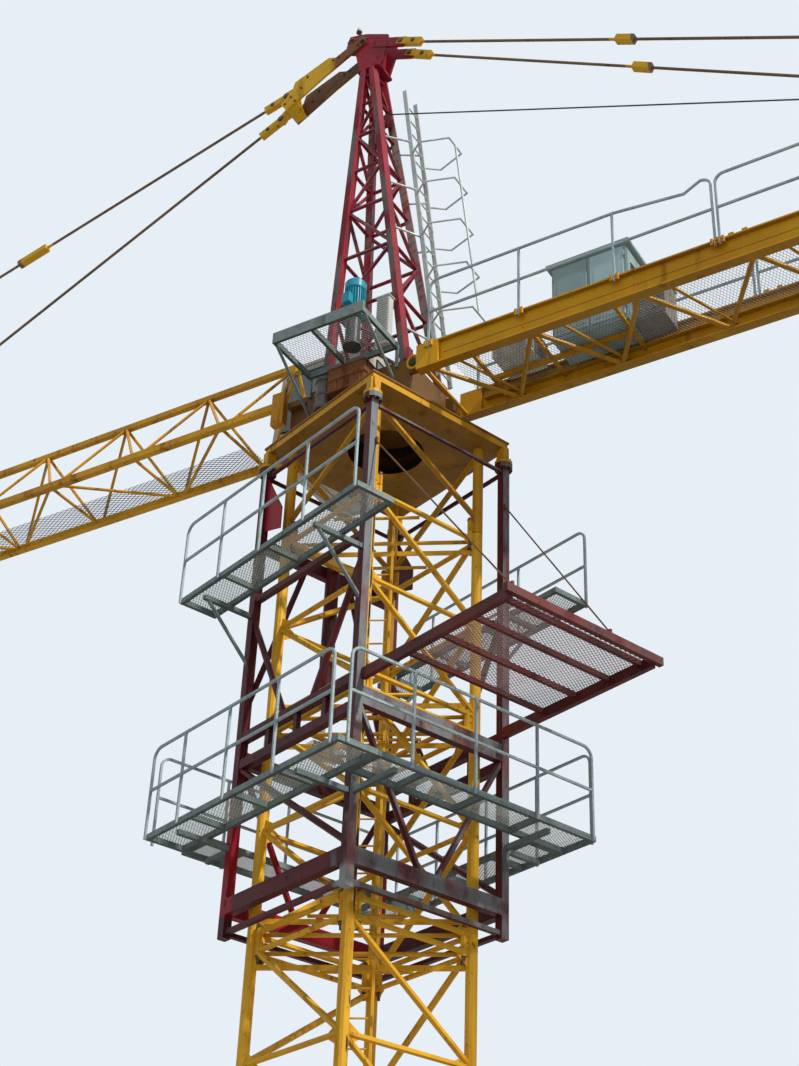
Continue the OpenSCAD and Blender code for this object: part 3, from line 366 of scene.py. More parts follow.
def shaded_frame_inside(s):
    """Inside of the slewing frame, over its middle opening: painted shade of the hollow, with grease."""
    sides = ((1, 0, 0), (-1, 0, 0), (0, 1, 0), (0, -1, 0))
    return s.all_of(s.height(14.042, 14.044), *(s.outside(s.along(d, 0.561, 0.565)) for d in sides))


def link_root(s):
    """Part of the link plates next to the head."""
    return s.outside(s.along(S_DIR, 1.08, 1.22))


def far_link_shade_and_rust(s):
    """The link plate on the far side, in blotches: painted shade of its inner face, with rust."""
    return s.all_of(s.outside(s.along(W_DIR, -0.132, -0.13)), s.ramp(s.noise(2.0), 0.25, 0.5, 0.6, 1.0))


def motor_stand(s):
    return s.outside(s.height(15.68, 15.69))


# wear of the painted housings
HOUSING = {"streaks": 0.35, "chips": 0.35, "chip_at": 0.64}
# under sets the painted shade on the undersides of the girder, frame, gearbox and deck
M = {
    "mast": paint("mast_yellow", (0.78, 0.43, 0.028), (0.64, 0.32, 0.018), streaks=0.45, chips=0.75,
        chip_at=0.615, dust=(0.62, 0.42, 0.14), over=[(worn_leg, DARK)]),
    "jib": paint("jib_yellow", (0.66, 0.345, 0.016), (0.5, 0.23, 0.015), streaks=0.7, chips=0.7, wash=0.45,
        dust=(0.5, 0.33, 0.12)),
    "girder": paint("girder_yellow", (0.68, 0.355, 0.014), (0.56, 0.26, 0.012), chips=0.55, chip_at=0.63,
        wash=0.4, dust=(0.56, 0.36, 0.1), under=0.6),
    "frame": paint("frame_yellow", (0.64, 0.325, 0.015), (0.5, 0.225, 0.013), streaks=0.6, chips=0.6,
        chip_at=0.61, wash=0.45, dust=(0.42, 0.28, 0.12), under=0.7,
        # near black inside the frame: painted shade of the hollow, with grease
        over=[(shaded_frame_inside, (0.03, 0.022, 0.015))]),
    "fork": paint("link_yellow", (0.7, 0.4, 0.016), (0.6, 0.31, 0.013), chips=0.6, streaks=0.4,
        # the far plate is painted dark brown: painted shade with rust
        over=[(link_root, (0.2, 0.065, 0.02)), (far_link_shade_and_rust, (0.16, 0.075, 0.02))]),
    "cage": bleached("cage_maroon", (0.105, 0.016, 0.022), (0.06, 0.012, 0.016), (0.21, 0.235, 0.245),
        (0.24, 0.115, 0.11), 0.8, low=(0.31, 0.01, 0.022)),
    "feed": bleached("feed_red", (0.135, 0.022, 0.02), (0.075, 0.015, 0.014), (0.22, 0.13, 0.13),
        (0.25, 0.1, 0.09), 0.45),
    "cathead": bleached("cathead_crimson", (0.3, 0.013, 0.03), (0.19, 0.011, 0.021), (0.2, 0.205, 0.19),
        (0.24, 0.045, 0.055), 0.78, toward=W_DIR, top_z=20.3),
    "platform": paint("platform_brown", (0.17, 0.085, 0.022), (0.1, 0.045, 0.018),
        over=[(spans((1.2, 1.5)), (0.56, 0.24, 0.014))]),
    "deck": zinc("deck_grey_green", (0.15, 0.2, 0.2), (0.25, 0.315, 0.31), (0.04, 0.05, 0.05), dirt=0.6,
        under=0.75),
    "rail": zinc("rail_zinc", (0.27, 0.35, 0.38), (0.44, 0.53, 0.56), (0.09, 0.11, 0.12), metal=0.08),
    "mesh": zinc("mesh_zinc", (0.34, 0.39, 0.38), (0.5, 0.54, 0.52), (0.12, 0.12, 0.11)),
    "thin_mesh": zinc("mesh_dull_zinc", (0.13, 0.15, 0.17), (0.21, 0.23, 0.25), (0.06, 0.06, 0.06)),
    "feed_mesh": paint("feed_mesh_red", (0.22, 0.165, 0.17), (0.17, 0.095, 0.095), streaks=0.4, chips=0.4),
    "tie": paint("tie_rusty_brown", (0.16, 0.075, 0.035), (0.1, 0.045, 0.025)),
    "box_brown": paint("box_brown_grey", (0.22, 0.2, 0.17), (0.15, 0.135, 0.115), dust=(0.3, 0.27, 0.22)),
    "lip": paint("lip_brown", (0.24, 0.11, 0.025), (0.15, 0.07, 0.02), chips=0.6),
    "ladder": zinc("ladder_pale", (0.48, 0.55, 0.56), (0.64, 0.69, 0.69), (0.16, 0.17, 0.17)),
    "cabinet": paint("cabinet_grey_green", (0.31, 0.42, 0.43), (0.25, 0.35, 0.36), rough=0.38,
        dust=(0.36, 0.4, 0.38), **HOUSING),
    "door_pale": paint("door_pale_blue", (0.46, 0.62, 0.65), (0.38, 0.52, 0.56), rough=0.38, **HOUSING),
    "cab": paint("cab_cream", (0.56, 0.55, 0.48), (0.46, 0.45, 0.4), streaks=0.4, chips=0.45, chip_at=0.64,
        rough=0.35, dust=(0.4, 0.38, 0.33)),
    "white": paint("box_white", (0.62, 0.64, 0.62), (0.5, 0.52, 0.5), rough=0.4, **HOUSING),
    "cyan": paint("motor_cyan", (0.03, 0.33, 0.46), (0.025, 0.25, 0.36), streaks=0.3, chips=0.4,
        chip_at=0.64, rough=0.35, dust=(0.12, 0.36, 0.45), over=[(motor_stand, (0.055, 0.06, 0.06))]),
    "winch": paint("winch_blue", (0.04, 0.12, 0.22), (0.03, 0.085, 0.16), streaks=0.4, chip_at=0.62),
    "gearbox": paint("gearbox_brown", (0.2, 0.075, 0.022), (0.12, 0.045, 0.018), streaks=0.6, chips=0.6,
        chip_at=0.58, under=0.6),
    "steel": plain_detail("dark_steel", (0.075, 0.07, 0.065), (0.13, 0.115, 0.1), 9.0, 0.5, 0.6),
    "grease": plain_detail("greased_steel", (0.022, 0.019, 0.016), (0.055, 0.045, 0.035), 11.0, 0.38, 0.5),
    "bolt": plain_detail("bolt_steel", (0.09, 0.07, 0.055), (0.16, 0.1, 0.065), 30.0, 0.55, 0.6),
    "rope": plain_detail("rope_steel", (0.045, 0.043, 0.04), (0.1, 0.095, 0.085), 30.0, 0.5, 0.5),
    "rubber": plain_detail("cable_rubber", (0.012, 0.012, 0.013), (0.03, 0.03, 0.03), 20.0, 0.6),
    "chrome": plain_detail("rod_chrome", (0.42, 0.42, 0.42), (0.55, 0.55, 0.54), 12.0, 0.2, 0.9, 0.1),
    "concrete": concrete_look("weight_concrete"),
    "glass": glass_look("cab_glass"),
}
# Yellow forks and connectors of the brown stays: from and to, along the jib
CONNECTORS = {
    "outer_stay": ((1.9, 2.47), (6.48, 7.08), (13.55, 14.15), (20.62, 21.22), (25.4, 25.9)),
    "inner_stay": ((1.9, 2.5), (7.22, 7.54), (12.6, 13.0)),
    "back_stay": ((-0.42, 0.1), (-3.62, -3.3), (-7.09, -6.77), (-10.7, -10.3)),
}
for key, pairs in CONNECTORS.items():
    M[key] = paint(key + "_paint", (0.2, 0.14, 0.075), (0.13, 0.095, 0.055),
                   chips=0.7, fine=24.0, over=[(spans(*pairs), (0.66, 0.36, 0.014))])

# The CAD nodes that each material goes on
FINISH = {
    "mast": "base_frame mast_ladder mast_section_1 mast_section_2 mast_section_3 mast_section_4 "
            "mast_section_5",
    "cage": "cage_legs cage_left_side cage_right_side cage_back_side cage_front_side cage_lower_ring "
            "jacking_cylinder",
    "chrome": "jacking_yoke",
    "deck": "lower_walkway upper_walkway motor_platform",
    "mesh": "lower_walkway_mesh upper_walkway_mesh jib_walkway counter_jib_mesh",
    "rail": "lower_handrails upper_handrails counter_jib_handrails",
    "tie": "feed_platform_ties",
    "feed": "feed_platform",
    "feed_mesh": "feed_platform_mesh",
    "frame": "slewing_frame slewing_frame_legs",
    "grease": "lower_slewing_ring upper_slewing_ring",
    "platform": "slewing_platform",
    "gearbox": "slewing_gearbox",
    "cyan": "slewing_motor",
    "cathead": "cathead cathead_head",
    "ladder": "cathead_ladder",
    "cab": "operator_cab",
    "jib": "jib_section_1 jib_section_2 jib_section_3 jib_section_4",
    "fork": "jib_stay_links",
    "inner_stay": "inner_jib_stay",
    "outer_stay": "outer_jib_stay",
    "back_stay": "counter_jib_stays",
    "girder": "counter_jib",
    "cabinet": "electrical_cabinet",
    "box_brown": "cable_box",
    "white": "resistor_boxes",
    "winch": "hoist_winch",
    "rope": "hoist_rope",
    "concrete": "counterweights",
}
for key, names in FINISH.items():
    for name in names.split():
        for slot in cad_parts[name].material_slots:
            slot.material = M[key]


# Mesh building

def new_object(name, data):
    obj = bpy.data.objects.new(name, data)
    bpy.context.scene.collection.objects.link(obj)
    return obj


def ring_faces(rings, sides, closed=False):
    """Quads between rings of points, with a cap at each end of an open row."""
    faces = []
    for i in range(rings if closed else rings - 1):
        j = (i + 1) % rings
        for k in range(sides):
            m = (k + 1) % sides
            faces.append((i * sides + k, i * sides + m, j * sides + m, j * sides + k))
    if not closed:
        faces.append(tuple(range(sides - 1, -1, -1)))
        faces.append(tuple((rings - 1) * sides + k for k in range(sides)))
    return faces


class Geo:
    """Collects bars, boxes and strands into one mesh."""

    def __init__(self):
        self.verts = []
        self.faces = []
        self.smooth = []

    def add(self, verts, faces, smooth=False):
        n = len(self.verts)
        self.verts += [tuple(v) for v in verts]
        self.faces += [tuple(i + n for i in f) for f in faces]
        self.smooth += [smooth] * len(faces)

    def box(self, place, lo, hi, bevel):
        """Bevelled box between two corners, set into the world by place(x, y, z)."""
        (x0, y0, z0), (x1, y1, z1) = lo, hi
        b = min(bevel, (x1 - x0) / 3, (y1 - y0) / 3, (z1 - z0) / 3)
        e = b * 0.6
        pts = []
        for z, inset in ((z0, b), (z0 + b, 0.0), (z1 - b, 0.0), (z1, b)):
            a0, a1, c0, c1 = x0 + inset, x1 - inset, y0 + inset, y1 - inset
            ring = [(a0 + e, c0), (a1 - e, c0), (a1, c0 + e), (a1, c1 - e), (a1 - e, c1),
                    (a0 + e, c1), (a0, c1 - e), (a0, c0 + e)]
            pts += [place(x, y, z) for x, y in ring]
        self.add(pts, ring_faces(4, 8))

    def tube(self, points, radius, sides=8, closed=False):
        """Round bar through the points."""
        pts = [Vector(p) for p in points]
        n = len(pts)
        verts = []
        ref = None
        for i, p in enumerate(pts):
            if closed:
                t = (pts[(i + 1) % n] - pts[i - 1]).normalized()
            else:
                t = (pts[min(i + 1, n - 1)] - pts[max(i - 1, 0)]).normalized()
            if ref is None:
                ref = t.orthogonal().normalized()
            ref = (ref - t * ref.dot(t)).normalized()
            v = t.cross(ref)
            verts += [p + (ref * c + v * s) * radius for c, s in around(sides)]
        self.add(verts, ring_faces(n, sides, closed), smooth=True)

    def eye(self, s, w, z, long, high, radius, count):
        """Closed ring of round bar that stands across w."""
        self.tube([top(s + long * c, w, z + high * n) for c, n in around(count)], radius, closed=True)

    def hinge(self, s, w, z, half):
        self.tube([top(s, w, z - half), top(s, w, z + half)], 0.011)

    def handle(self, base, out, run, radius):
        """Bent round bar: from base out, along run and back."""
        base, out, run = Vector(base), Vector(out), Vector(run)
        self.tube([base, base + out, base + out + run, base + run], radius)

    def lathe(self, centre, axis, profile, sides=20):
        """Turned part: profile is a list of (distance along axis, radius)."""
        centre, axis = Vector(centre), Vector(axis).normalized()
        u = axis.orthogonal().normalized()
        v = axis.cross(u)
        verts = [centre + axis * d + (u * c + v * s) * r for d, r in profile for c, s in around(sides)]
        self.add(verts, ring_faces(len(profile), sides))

    def bolt(self, centre, axis, size, head, shank=0.0):
        """Hexagon head with a chamfer, washer and, where it shows, a thread end."""
        centre, axis = Vector(centre), Vector(axis).normalized()
        washer = size * 0.1
        self.lathe(centre, axis, [(0, size * 0.62), (washer, size * 0.62)], 14)
        self.lathe(centre + axis * washer, axis,
                   [(0, size * 0.5), (head * 0.8, size * 0.5), (head, size * 0.42)], 6)
        if shank:
            self.lathe(centre + axis * head, axis,
                       [(0, size * 0.28), (shank, size * 0.28), (shank * 1.08, size * 0.2)], 10)

    def bolt_circle(self, place, x, y, z, radius, count, axis, size, head, shift=0.0, shank=0.0):
        for c, n in around(count, shift):
            self.bolt(place(x + radius * c, y + radius * n, z), axis, size, head, shank)

    def plate(self, points, push):
        """Flat plate: the outline's points and how far it is thick."""
        front = [Vector(q) for q in points]
        push = Vector(push)
        n = len(front)
        self.add(front + [q + push for q in front], ring_faces(2, n))

    def bar(self, a, b, across, wide, deep):
        """Flat bar from a to b; across is the direction of its width."""
        a, b, across = map(Vector, (a, b, across))
        along = (b - a).normalized()
        u = (across - along * across.dot(along)).normalized() * wide / 2
        v = along.cross(u).normalized() * deep / 2
        self.plate([a - u - v, a + u - v, a + u + v, a - u + v], b - a)

    def edging(self, points, outward, wide, deep):
        """Frame of flat bars along a closed outline."""
        for a, b in zip(points, points[1:] + points[:1]):
            self.bar(a, b, outward, deep, wide)

    def expanded(self, place, u0, u1, v0, v1, z, pu, pv, strand, thick):
        """Expanded metal: zigzag strands that meet at each knot."""
        rows = max(1, round((v1 - v0) / (pv / 2)))
        cols = max(2, round((u1 - u0) / (pu / 2)))
        dv = (v1 - v0) / rows
        du = (u1 - u0) / cols
        amp = dv / 2 - strand / 2
        w = strand / 2
        for k in range(rows):
            mid = v0 + (k + 0.5) * dv
            verts, faces = [], []
            for i in range(cols + 1):
                x = u0 + i * du
                y = mid + (amp if (i + k) % 2 == 0 else -amp)
                verts += [place(x, y - w, z), place(x, y + w, z),
                          place(x, y + w, z + thick), place(x, y - w, z + thick)]
                if i:
                    a, b = (i - 1) * 4, i * 4
                    faces += [(a + q, a + (q + 1) % 4, b + (q + 1) % 4, b + q) for q in range(4)]
            self.add(verts, faces)

    def make(self, name, material, slot="dark_steel", body="upper_works"):
        mesh = bpy.data.meshes.new(name)
        mesh.from_pydata(self.verts, [], self.faces)
        mesh.polygons.foreach_set("use_smooth", self.smooth)
        mesh.materials.append(M[material])
        mesh.update()
        obj = new_object(name, mesh)
        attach(obj, body)
        return obj


# Mesh floors. Each side of a deck is its turn about the mast, its two ends and its outer edge
LOW_SIDES = [(0, -1.3, 1.62, 1.8), (-90, -1.51, 1.8, 1.8), (90, -1.3, 1.07, 1.62),
             (180, -1.62, 1.3, 1.57)]
UP_SIDES = [(-90, -1.39, 1.87, 1.8), (90, -1.76, 1.39, 1.62)]
RIM = 0.01
LIFT = 0.001
# the pitch both ways, the width and the thickness of the strands
WALK_STRANDS = (0.066, 0.033, 0.0062, 0.004)
FEED_STRANDS = (0.07, 0.036, 0.0062, 0.004)
JIB_STRANDS = (0.1, 0.05, 0.007, 0.005)
COUNTER_STRANDS = (0.042, 0.084, 0.0058, 0.005)


def deck_mesh(name, sides, z, node):
    g = Geo()
    for a, x0, x1, out in sides:
        g.expanded(turned(a), x0 + RIM, x1 - RIM, -out + RIM, -out + DECK_W - RIM, z + LIFT, *WALK_STRANDS)
    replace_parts(g.make(name, "mesh", "galvanised", "climbing_frame"), node)


def feed_mesh():
    lo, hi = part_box("feed_platform_mesh")
    g = Geo()
    g.expanded(turned(0), lo.x, hi.x, lo.y, hi.y, lo.z + LIFT, *FEED_STRANDS)
    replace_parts(g.make("feed_deck_mesh", "feed_mesh", "galvanised", "climbing_frame"), "feed_platform_mesh")


def jib_mesh():
    end = JIB_S0 + JIB_BAYS * BAY - 0.06
    g = Geo()
    g.expanded(top, JIB_S0, end, -JIB_W + 0.048, -0.06, JIB_Z0 + 0.04 + LIFT, *JIB_STRANDS)
    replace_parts(g.make("jib_walkway_mesh", "thin_mesh", "galvanised"), "jib_walkway")


def counter_jib_mesh():
    """Floor between the girders, and the two fields of the motor platform's floor."""
    half = CJ_W - CJ_T / 2 - 0.003
    g = Geo()
    g.expanded(top, -9.4, -1.1, -half, half, FLOOR_Z + LIFT, *COUNTER_STRANDS)
    for s0, w0, w1 in ((-0.425, 0.605, 1.275), (-0.145, 0.535, 0.608)):
        g.expanded(top, s0, 0.875, w0, w1, MOTOR_MESH_Z + LIFT, *COUNTER_STRANDS)
    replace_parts(g.make("counter_jib_floor", "thin_mesh", "galvanised"), "counter_jib_mesh")


# Mast

def mast_bolts():
    """Bolts through the sleeves of the mast joints; the uppermost heads are on the slewing frame."""
    out, reach, size = 0.116, Vector((0, 0, 0.151)), 0.058
    g, upper_heads = Geo(), Geo()
    for k in range(SECTIONS + 1):
        for i, j in CORNERS:
            for dx, dy in ((-i * out, 0), (0, -j * out)):
                p = Vector((i * MAST_HALF + dx, j * MAST_HALF + dy, BASE_H + k * SECTION_H))
                heads = upper_heads if k == SECTIONS else g
                if k > 0:
                    g.bolt(p - reach, DOWN, size, 0.032, 0.05)
                heads.bolt(p + reach, UP, size, 0.026)
    g.make("mast_joint_bolts", "bolt", "dark_steel", "mast")
    upper_heads.make("top_joint_bolts", "bolt", "dark_steel", "climbing_frame")


def plan_bracing():
    """Level braces inside the mast at both ends of each section."""
    e, gap, end = MAST_HALF - 0.07, 0.03, 0.1
    g = Geo()
    for k in range(SECTIONS):
        z0 = BASE_H + k * SECTION_H
        for z in (z0 + end, z0 + SECTION_H - end):
            g.tube([(-e, e, z), (e, -e, z)], 0.024)
            for q in (-1, 1):
                g.tube([(q * gap, q * e, z), (q * e, q * gap, z)], 0.02)
    g.make("mast_plan_bracing", "mast", "yellow_paint", "mast")


def anchor_bolts():
    """Nuts and thread ends on the foundation plates."""
    half, plate_top = 0.19, 0.0405
    g = Geo()
    for i, j in CORNERS:
        for a, b in CORNERS:
            g.bolt((i * MAST_HALF + a * half, j * MAST_HALF + b * half, plate_top), UP, 0.062, 0.032, 0.06)
    g.make("anchor_bolts", "bolt", "dark_steel", "mast")


def mast_gussets():
    """Plates where the braces meet the mast legs."""
    half, thick = 0.006, 0.012
    root, tip = MAST_HALF - 0.055, MAST_HALF - 0.2
    g = Geo()
    for a in (0, 90, 180, 270):
        place = turned(a)
        for k in range(SECTIONS):
            z0 = BASE_H + k * SECTION_H
            for z, up in ((z0 + 0.1, 1), (z0 + SECTION_H / 2, 0), (z0 + SECTION_H - 0.1, -1)):
                for i in (-1, 1):
                    x, far = i * root, i * tip
                    if up:
                        pts = [(x, z - 0.045), (far, z - 0.035), (far, z + up * 0.04), (x, z + up * 0.15)]
                    else:
                        pts = [(x, z - 0.12), (far, z - 0.035), (far, z + 0.035), (x, z + 0.12)]
                    g.plate([place(px, -MAST_HALF - half, pz) for px, pz in pts], place(0, thick, 0))
    g.make("mast_gussets", "mast", "yellow_paint", "mast")


# Operator cab: its outline in s and z, and its two sides in w
CAB = [(0.75, 14.68), (1.85, 14.68), (2.25, 15.35), (2.15, 16.55), (0.75, 16.55)]
CAB_NEAR = -0.64
CAB_FAR = -1.79
CAB_SIDES = ((CAB_NEAR, 1), (CAB_FAR, -1))
SIDE_WINDOWS = ([(1.42, 15.42), (2.12, 15.48), (2.07, 16.4), (1.42, 16.4)],
                [(0.9, 15.56), (1.28, 15.56), (1.28, 16.32), (0.9, 16.32)])
SIDE_PANEL = [(1.42, 14.78), (1.8, 14.78), (2.1, 15.3), (1.42, 15.3)]
DOOR = [(0.84, 14.78), (1.34, 14.78), (1.34, 16.44), (0.84, 16.44)]
BACK_WINDOW = [(-1.62, 15.55), (-0.82, 15.55), (-0.82, 16.35), (-1.62, 16.35)]


def cab_pane(glass, seals, outline, out):
    """Pane and rubber seal on a cab face; out is the way outside."""
    out = Vector(out).normalized()
    glass.plate([q + out * 0.001 for q in outline], out * 0.006)
    seals.edging([q + out * 0.006 for q in outline], out, 0.026, 0.012)


def cab_sides(panes, seals, trim):
    """Windows, panel, door, hinges and handle on both sides."""
    for w, sign in CAB_SIDES:
        for outline in SIDE_WINDOWS:
            cab_pane(panes, seals, [top(s, w, z) for s, z in outline], top(0, sign, 0))
        face = w + sign * 0.004
        for outline, wide in ((SIDE_PANEL, 0.018), (DOOR, 0.014)):
            trim.edging([top(s, face, z) for s, z in outline], W_DIR, wide, 0.01)
        for z in (15.0, 15.65, 16.25):
            trim.hinge(0.825, w + sign * 0.012, z, 0.05)
        trim.handle(top(1.3, face, 15.4), top(0, sign * 0.031, 0), (0, 0, 0.16), 0.008)


def cab_ends(panes, seals):
    """Front windows, one row in the sloping face and two above it, and the back window."""
    halves = ((CAB_FAR + 0.07, CAB_FAR + 0.555), (CAB_FAR + 0.595, CAB_NEAR - 0.07))
    slope = (CAB[1], CAB[2], ((0.08, 0.92),))
    front = (CAB[2], CAB[3], ((0.04, 0.52), (0.56, 0.94)))
    for (s0, z0), (s1, z1), rows in (slope, front):
        for a, b in rows:
            for w0, w1 in halves:
                outline = [top(s0 + (s1 - s0) * f, w, z0 + (z1 - z0) * f)
                           for f, w in ((a, w0), (b, w0), (b, w1), (a, w1))]
                cab_pane(panes, seals, outline, top(z1 - z0, 0, s0 - s1))
    cab_pane(panes, seals, [top(CAB[0][0], w, z) for w, z in BACK_WINDOW], top(-1, 0, 0))


def cab_edges(trim):
    """Ribs under the floor and drip lips round the roof."""
    half, rim, lip_z0, lip_z1 = 0.018, 0.03, 16.5, 16.552
    w0, w1 = CAB_FAR + rim, CAB_NEAR - rim
    for s in (0.8, 1.08, 1.36, 1.64, 1.79):
        trim.box(top, (s - half, w0, 14.656), (s + half, w1, 14.6805), 0.004)
    for w in (w0, w1):
        trim.box(top, (0.78, w - half, 14.652), (1.82, w + half, 14.6804), 0.004)
    for w, sign in CAB_SIDES:
        lo_w, hi_w = sorted((w, w + sign * 0.022))
        trim.box(top, (0.735, lo_w, lip_z0), (2.165, hi_w, lip_z1), 0.006)
    trim.box(top, (0.728, CAB_FAR - 0.02, lip_z0), (0.752, CAB_NEAR + 0.02, lip_z1), 0.006)


def cab():
    panes, seals, trim = Geo(), Geo(), Geo()
    cab_sides(panes, seals, trim)
    cab_ends(panes, seals)
    cab_edges(trim)
    panes.make("cab_windows", "glass", "cab_paint")
    seals.make("cab_window_seals", "rubber")
    trim.make("cab_door_and_trim", "cab", "cab_paint")


def cab_brackets():
    """The two channels that carry the cab, with end plates and bolts at the slewing platform."""
    sheet, end, low, high = 0.01, -1.7, 14.565, 14.65
    g = Geo()
    for s0, s1, root in ((0.8, 0.88, -0.472), (1.1, 1.18, -0.382)):
        g.box(top, (s0, end, low), (s0 + sheet, root, high), 0.002)
        for z in (low, high - 0.009):
            g.box(top, (s0, end, z), (s1, root, z + sheet), 0.002)
        g.box(top, (s0 - 0.03, root - 0.012, low - 0.03), (s1 + 0.03, root, high + 0.025), 0.003)
        for s in (s0 - 0.012, s1 + 0.012):
            g.bolt(top(s, root - 0.012, 14.6), top(0, -1, 0), 0.026, 0.014)
    g.make("cab_brackets", "platform", "maroon_paint")


# Boxes on the counter-jib

def cabinet():
    """Electrical cabinet: doors, hinges, handle, vents, side panels, lifting eyes and roof ribs."""
    face, sheet, low, high = 0.06, 0.018, 14.86, 15.91
    left, right = -3.308, -2.312
    g, vents, pale_door = Geo(), Geo(), Geo()
    for s0, s1, hinge_s, door in ((-3.27, -2.83, -3.276, pale_door), (-2.79, -2.35, -2.344, g)):
        door.box(top, (s0, face, low), (s1, face + sheet, high), 0.005)
        door.box(top, (s0 + 0.05, face + sheet, low + 0.06), (s1 - 0.05, face + 0.021, high - 0.06), 0.003)
        for z in (15.0, 15.4, 15.78):
            g.hinge(hinge_s, face + 0.014, z, 0.045)
    g.handle(top(-2.86, face + sheet, 15.32), top(0, 0.032, 0), (0, 0, 0.14), 0.008)
    for k in range(9):
        z = 15.3 + k * 0.05
        for s in (left - 0.012, right):
            vents.box(top, (s, -0.32, z), (s + 0.012, -0.04, z + 0.022), 0.003)
    for s in (left, right - 0.008):
        g.box(top, (s, -0.4, low + 0.01), (s + 0.008, 0.04, high - 0.01), 0.003)
    for s in (-3.22, -2.4):
        g.eye(s, -0.18, 16.012, 0.028, 0.028, 0.007, 14)
    for s in (-3.33, -2.81, -2.29):
        g.box(top, (s - 0.012, -0.475, 15.985), (s + 0.012, 0.105, 15.999), 0.003)
    g.make("cabinet_doors", "cabinet", "cabinet_paint")
    pale_door.make("cabinet_pale_door", "door_pale", "cabinet_paint")
    vents.make("cabinet_vents", "steel")


def cable_box():
    """Lid, straps, handle and a row of glands."""
    z0 = FLOOR_Z + 0.0063
    g = Geo()
    g.box(top, (-3.725, -0.435, z0 + 0.548), (-3.312, -0.045, z0 + 0.572), 0.005)
    for z in (z0 + 0.03, z0 + 0.28):
        g.box(top, (-3.7, -0.06, z), (-3.325, -0.052, z + 0.03), 0.002)
    g.handle(top(-3.6, -0.058, z0 + 0.42), top(0, 0.038, 0), top(0.16, 0, 0), 0.007)
    for k in range(4):
        s = -3.66 + k * 0.085
        g.tube([top(s, -0.062, z0 + 0.14), top(s, -0.035, z0 + 0.14)], 0.017, 12)
    g.make("cable_box_lid", "box_brown", "grey_green_paint")


def louvres():
    """Resistor box with louvres on two sides and a lid, and the finned box beside the motor."""
    left, right, back, front = -2.05, -1.55, -0.33, 0.15
    out, rim, high = 0.012, 0.04, 0.017
    g = Geo()
    for k in range(9):
        z = FLOOR_Z + 0.045 + k * 0.031
        g.box(top, (left + rim, front, z), (right - rim, front + out, z + high), 0.004)
        g.box(top, (left - out, back + rim, z), (left, front - rim, z + high), 0.004)
    g.box(top, (left - out, back - out, FLOOR_Z + 0.33), (right + out, front + out, FLOOR_Z + 0.348), 0.005)
    for k in range(18):
        z = 15.27 + k * 0.038
        g.box(top, (-0.322, 0.6, z), (-0.158, 0.622, z + out), 0.003)
    g.box(top, (-0.345, 0.485, 15.965), (-0.135, 0.63, 15.985), 0.004)
    g.make("box_louvres", "white", "white_paint")


# Slewing drive and ring

def slewing_motor():
    """Cooling fins, fan cowl, flanges, terminal box and bolts."""
    s, w, fin_r = 0.12, 0.7, 0.124
    g = Geo()
    for c, n in around(26):
        x, y = s + fin_r * c, w + fin_r * n
        g.bar(top(x, y, 15.73), top(x, y, 16.13), top(c, n, 0), 0.026, 0.007)
    cowl = [(0, 0.13), (0.01, 0.138), (0.11, 0.138), (0.135, 0.12), (0.135, 0.05)]
    g.lathe(top(s, w, 16.13), UP, cowl, 28)
    g.lathe(top(s, w, 15.69), UP, [(0, 0.1), (0.004, 0.142), (0.03, 0.142), (0.036, 0.118)], 28)
    g.box(top, (s - 0.05, w + 0.1, 15.82), (s + 0.06, w + 0.205, 15.98), 0.008)
    g.bolt_circle(top, s, w, 15.692, 0.129, 8, DOWN, 0.018, 0.012, 0.5)
    g.bolt_circle(top, s, w, 15.245, 0.107, 8, UP, 0.018, 0.012, 0.5)
    g.lathe(top(s, w, 15.2272), UP, [(0, 0.12), (0.018, 0.12), (0.022, 0.098)], 24)
    g.make("motor_fins", "cyan", "cyan_paint")


def gearbox():
    """Flanges, ribs and bolts of the gearbox, and the dark cover of the reducer beside it."""
    flange, middle, bolt_w = 0.022, 14.735, PLAT_W + 0.297
    g, dark = Geo(), Geo()
    for z in (14.56, middle, 14.915):
        g.box(top, (-0.135, PLAT_W + 0.003, z), (0.415, PLAT_W + 0.305, z + flange), 0.006)
    for s in (-0.1, 0.02, 0.14, 0.26, 0.38):
        g.bolt(top(s, bolt_w, middle + flange), UP, 0.02, 0.012)
        g.bolt(top(s, bolt_w, middle), DOWN, 0.02, 0.012)
    for s in (-0.06, 0.11, 0.28):
        g.box(top, (s - 0.008, PLAT_W + 0.29, 14.585), (s + 0.008, PLAT_W + 0.303, 14.73), 0.003)
    s, w = 0.56, PLAT_W + 0.1103
    cover = [(0, 0.06), (0.004, 0.118), (0.03, 0.128), (0.1, 0.128), (0.105, 0.114), (0.2, 0.113),
             (0.205, 0.122), (0.24, 0.122), (0.245, 0.113), (0.42, 0.1125), (0.425, 0.126), (0.47, 0.126),
             (0.476, 0.112)]
    dark.lathe(top(s, w, 14.465), UP, cover, 32)
    dark.bolt_circle(top, s, w, 14.468, 0.118, 10, DOWN, 0.018, 0.012)
    g.make("gearbox_bolts", "gearbox", "brown_paint")
    dark.make("reducer_cover", "steel")


def slewing_ring():
    """Teeth of the lower ring and bolts through the upper one."""
    teeth_r, bolts_r = 0.628, 0.6195
    g = Geo()
    for c, n in around(108):
        x, y = teeth_r * c, teeth_r * n
        g.bar((x, y, 14.304), (x, y, 14.356), (c, n, 0), 0.024, 0.017)
    g.make("ring_teeth", "grease", "dark_steel", "climbing_frame")
    g = Geo()
    for c, n in around(36, 0.5):
        g.bolt((bolts_r * c, bolts_r * n, 14.399), (c, n, 0), 0.024, 0.014)
    g.make("ring_bolts", "bolt")


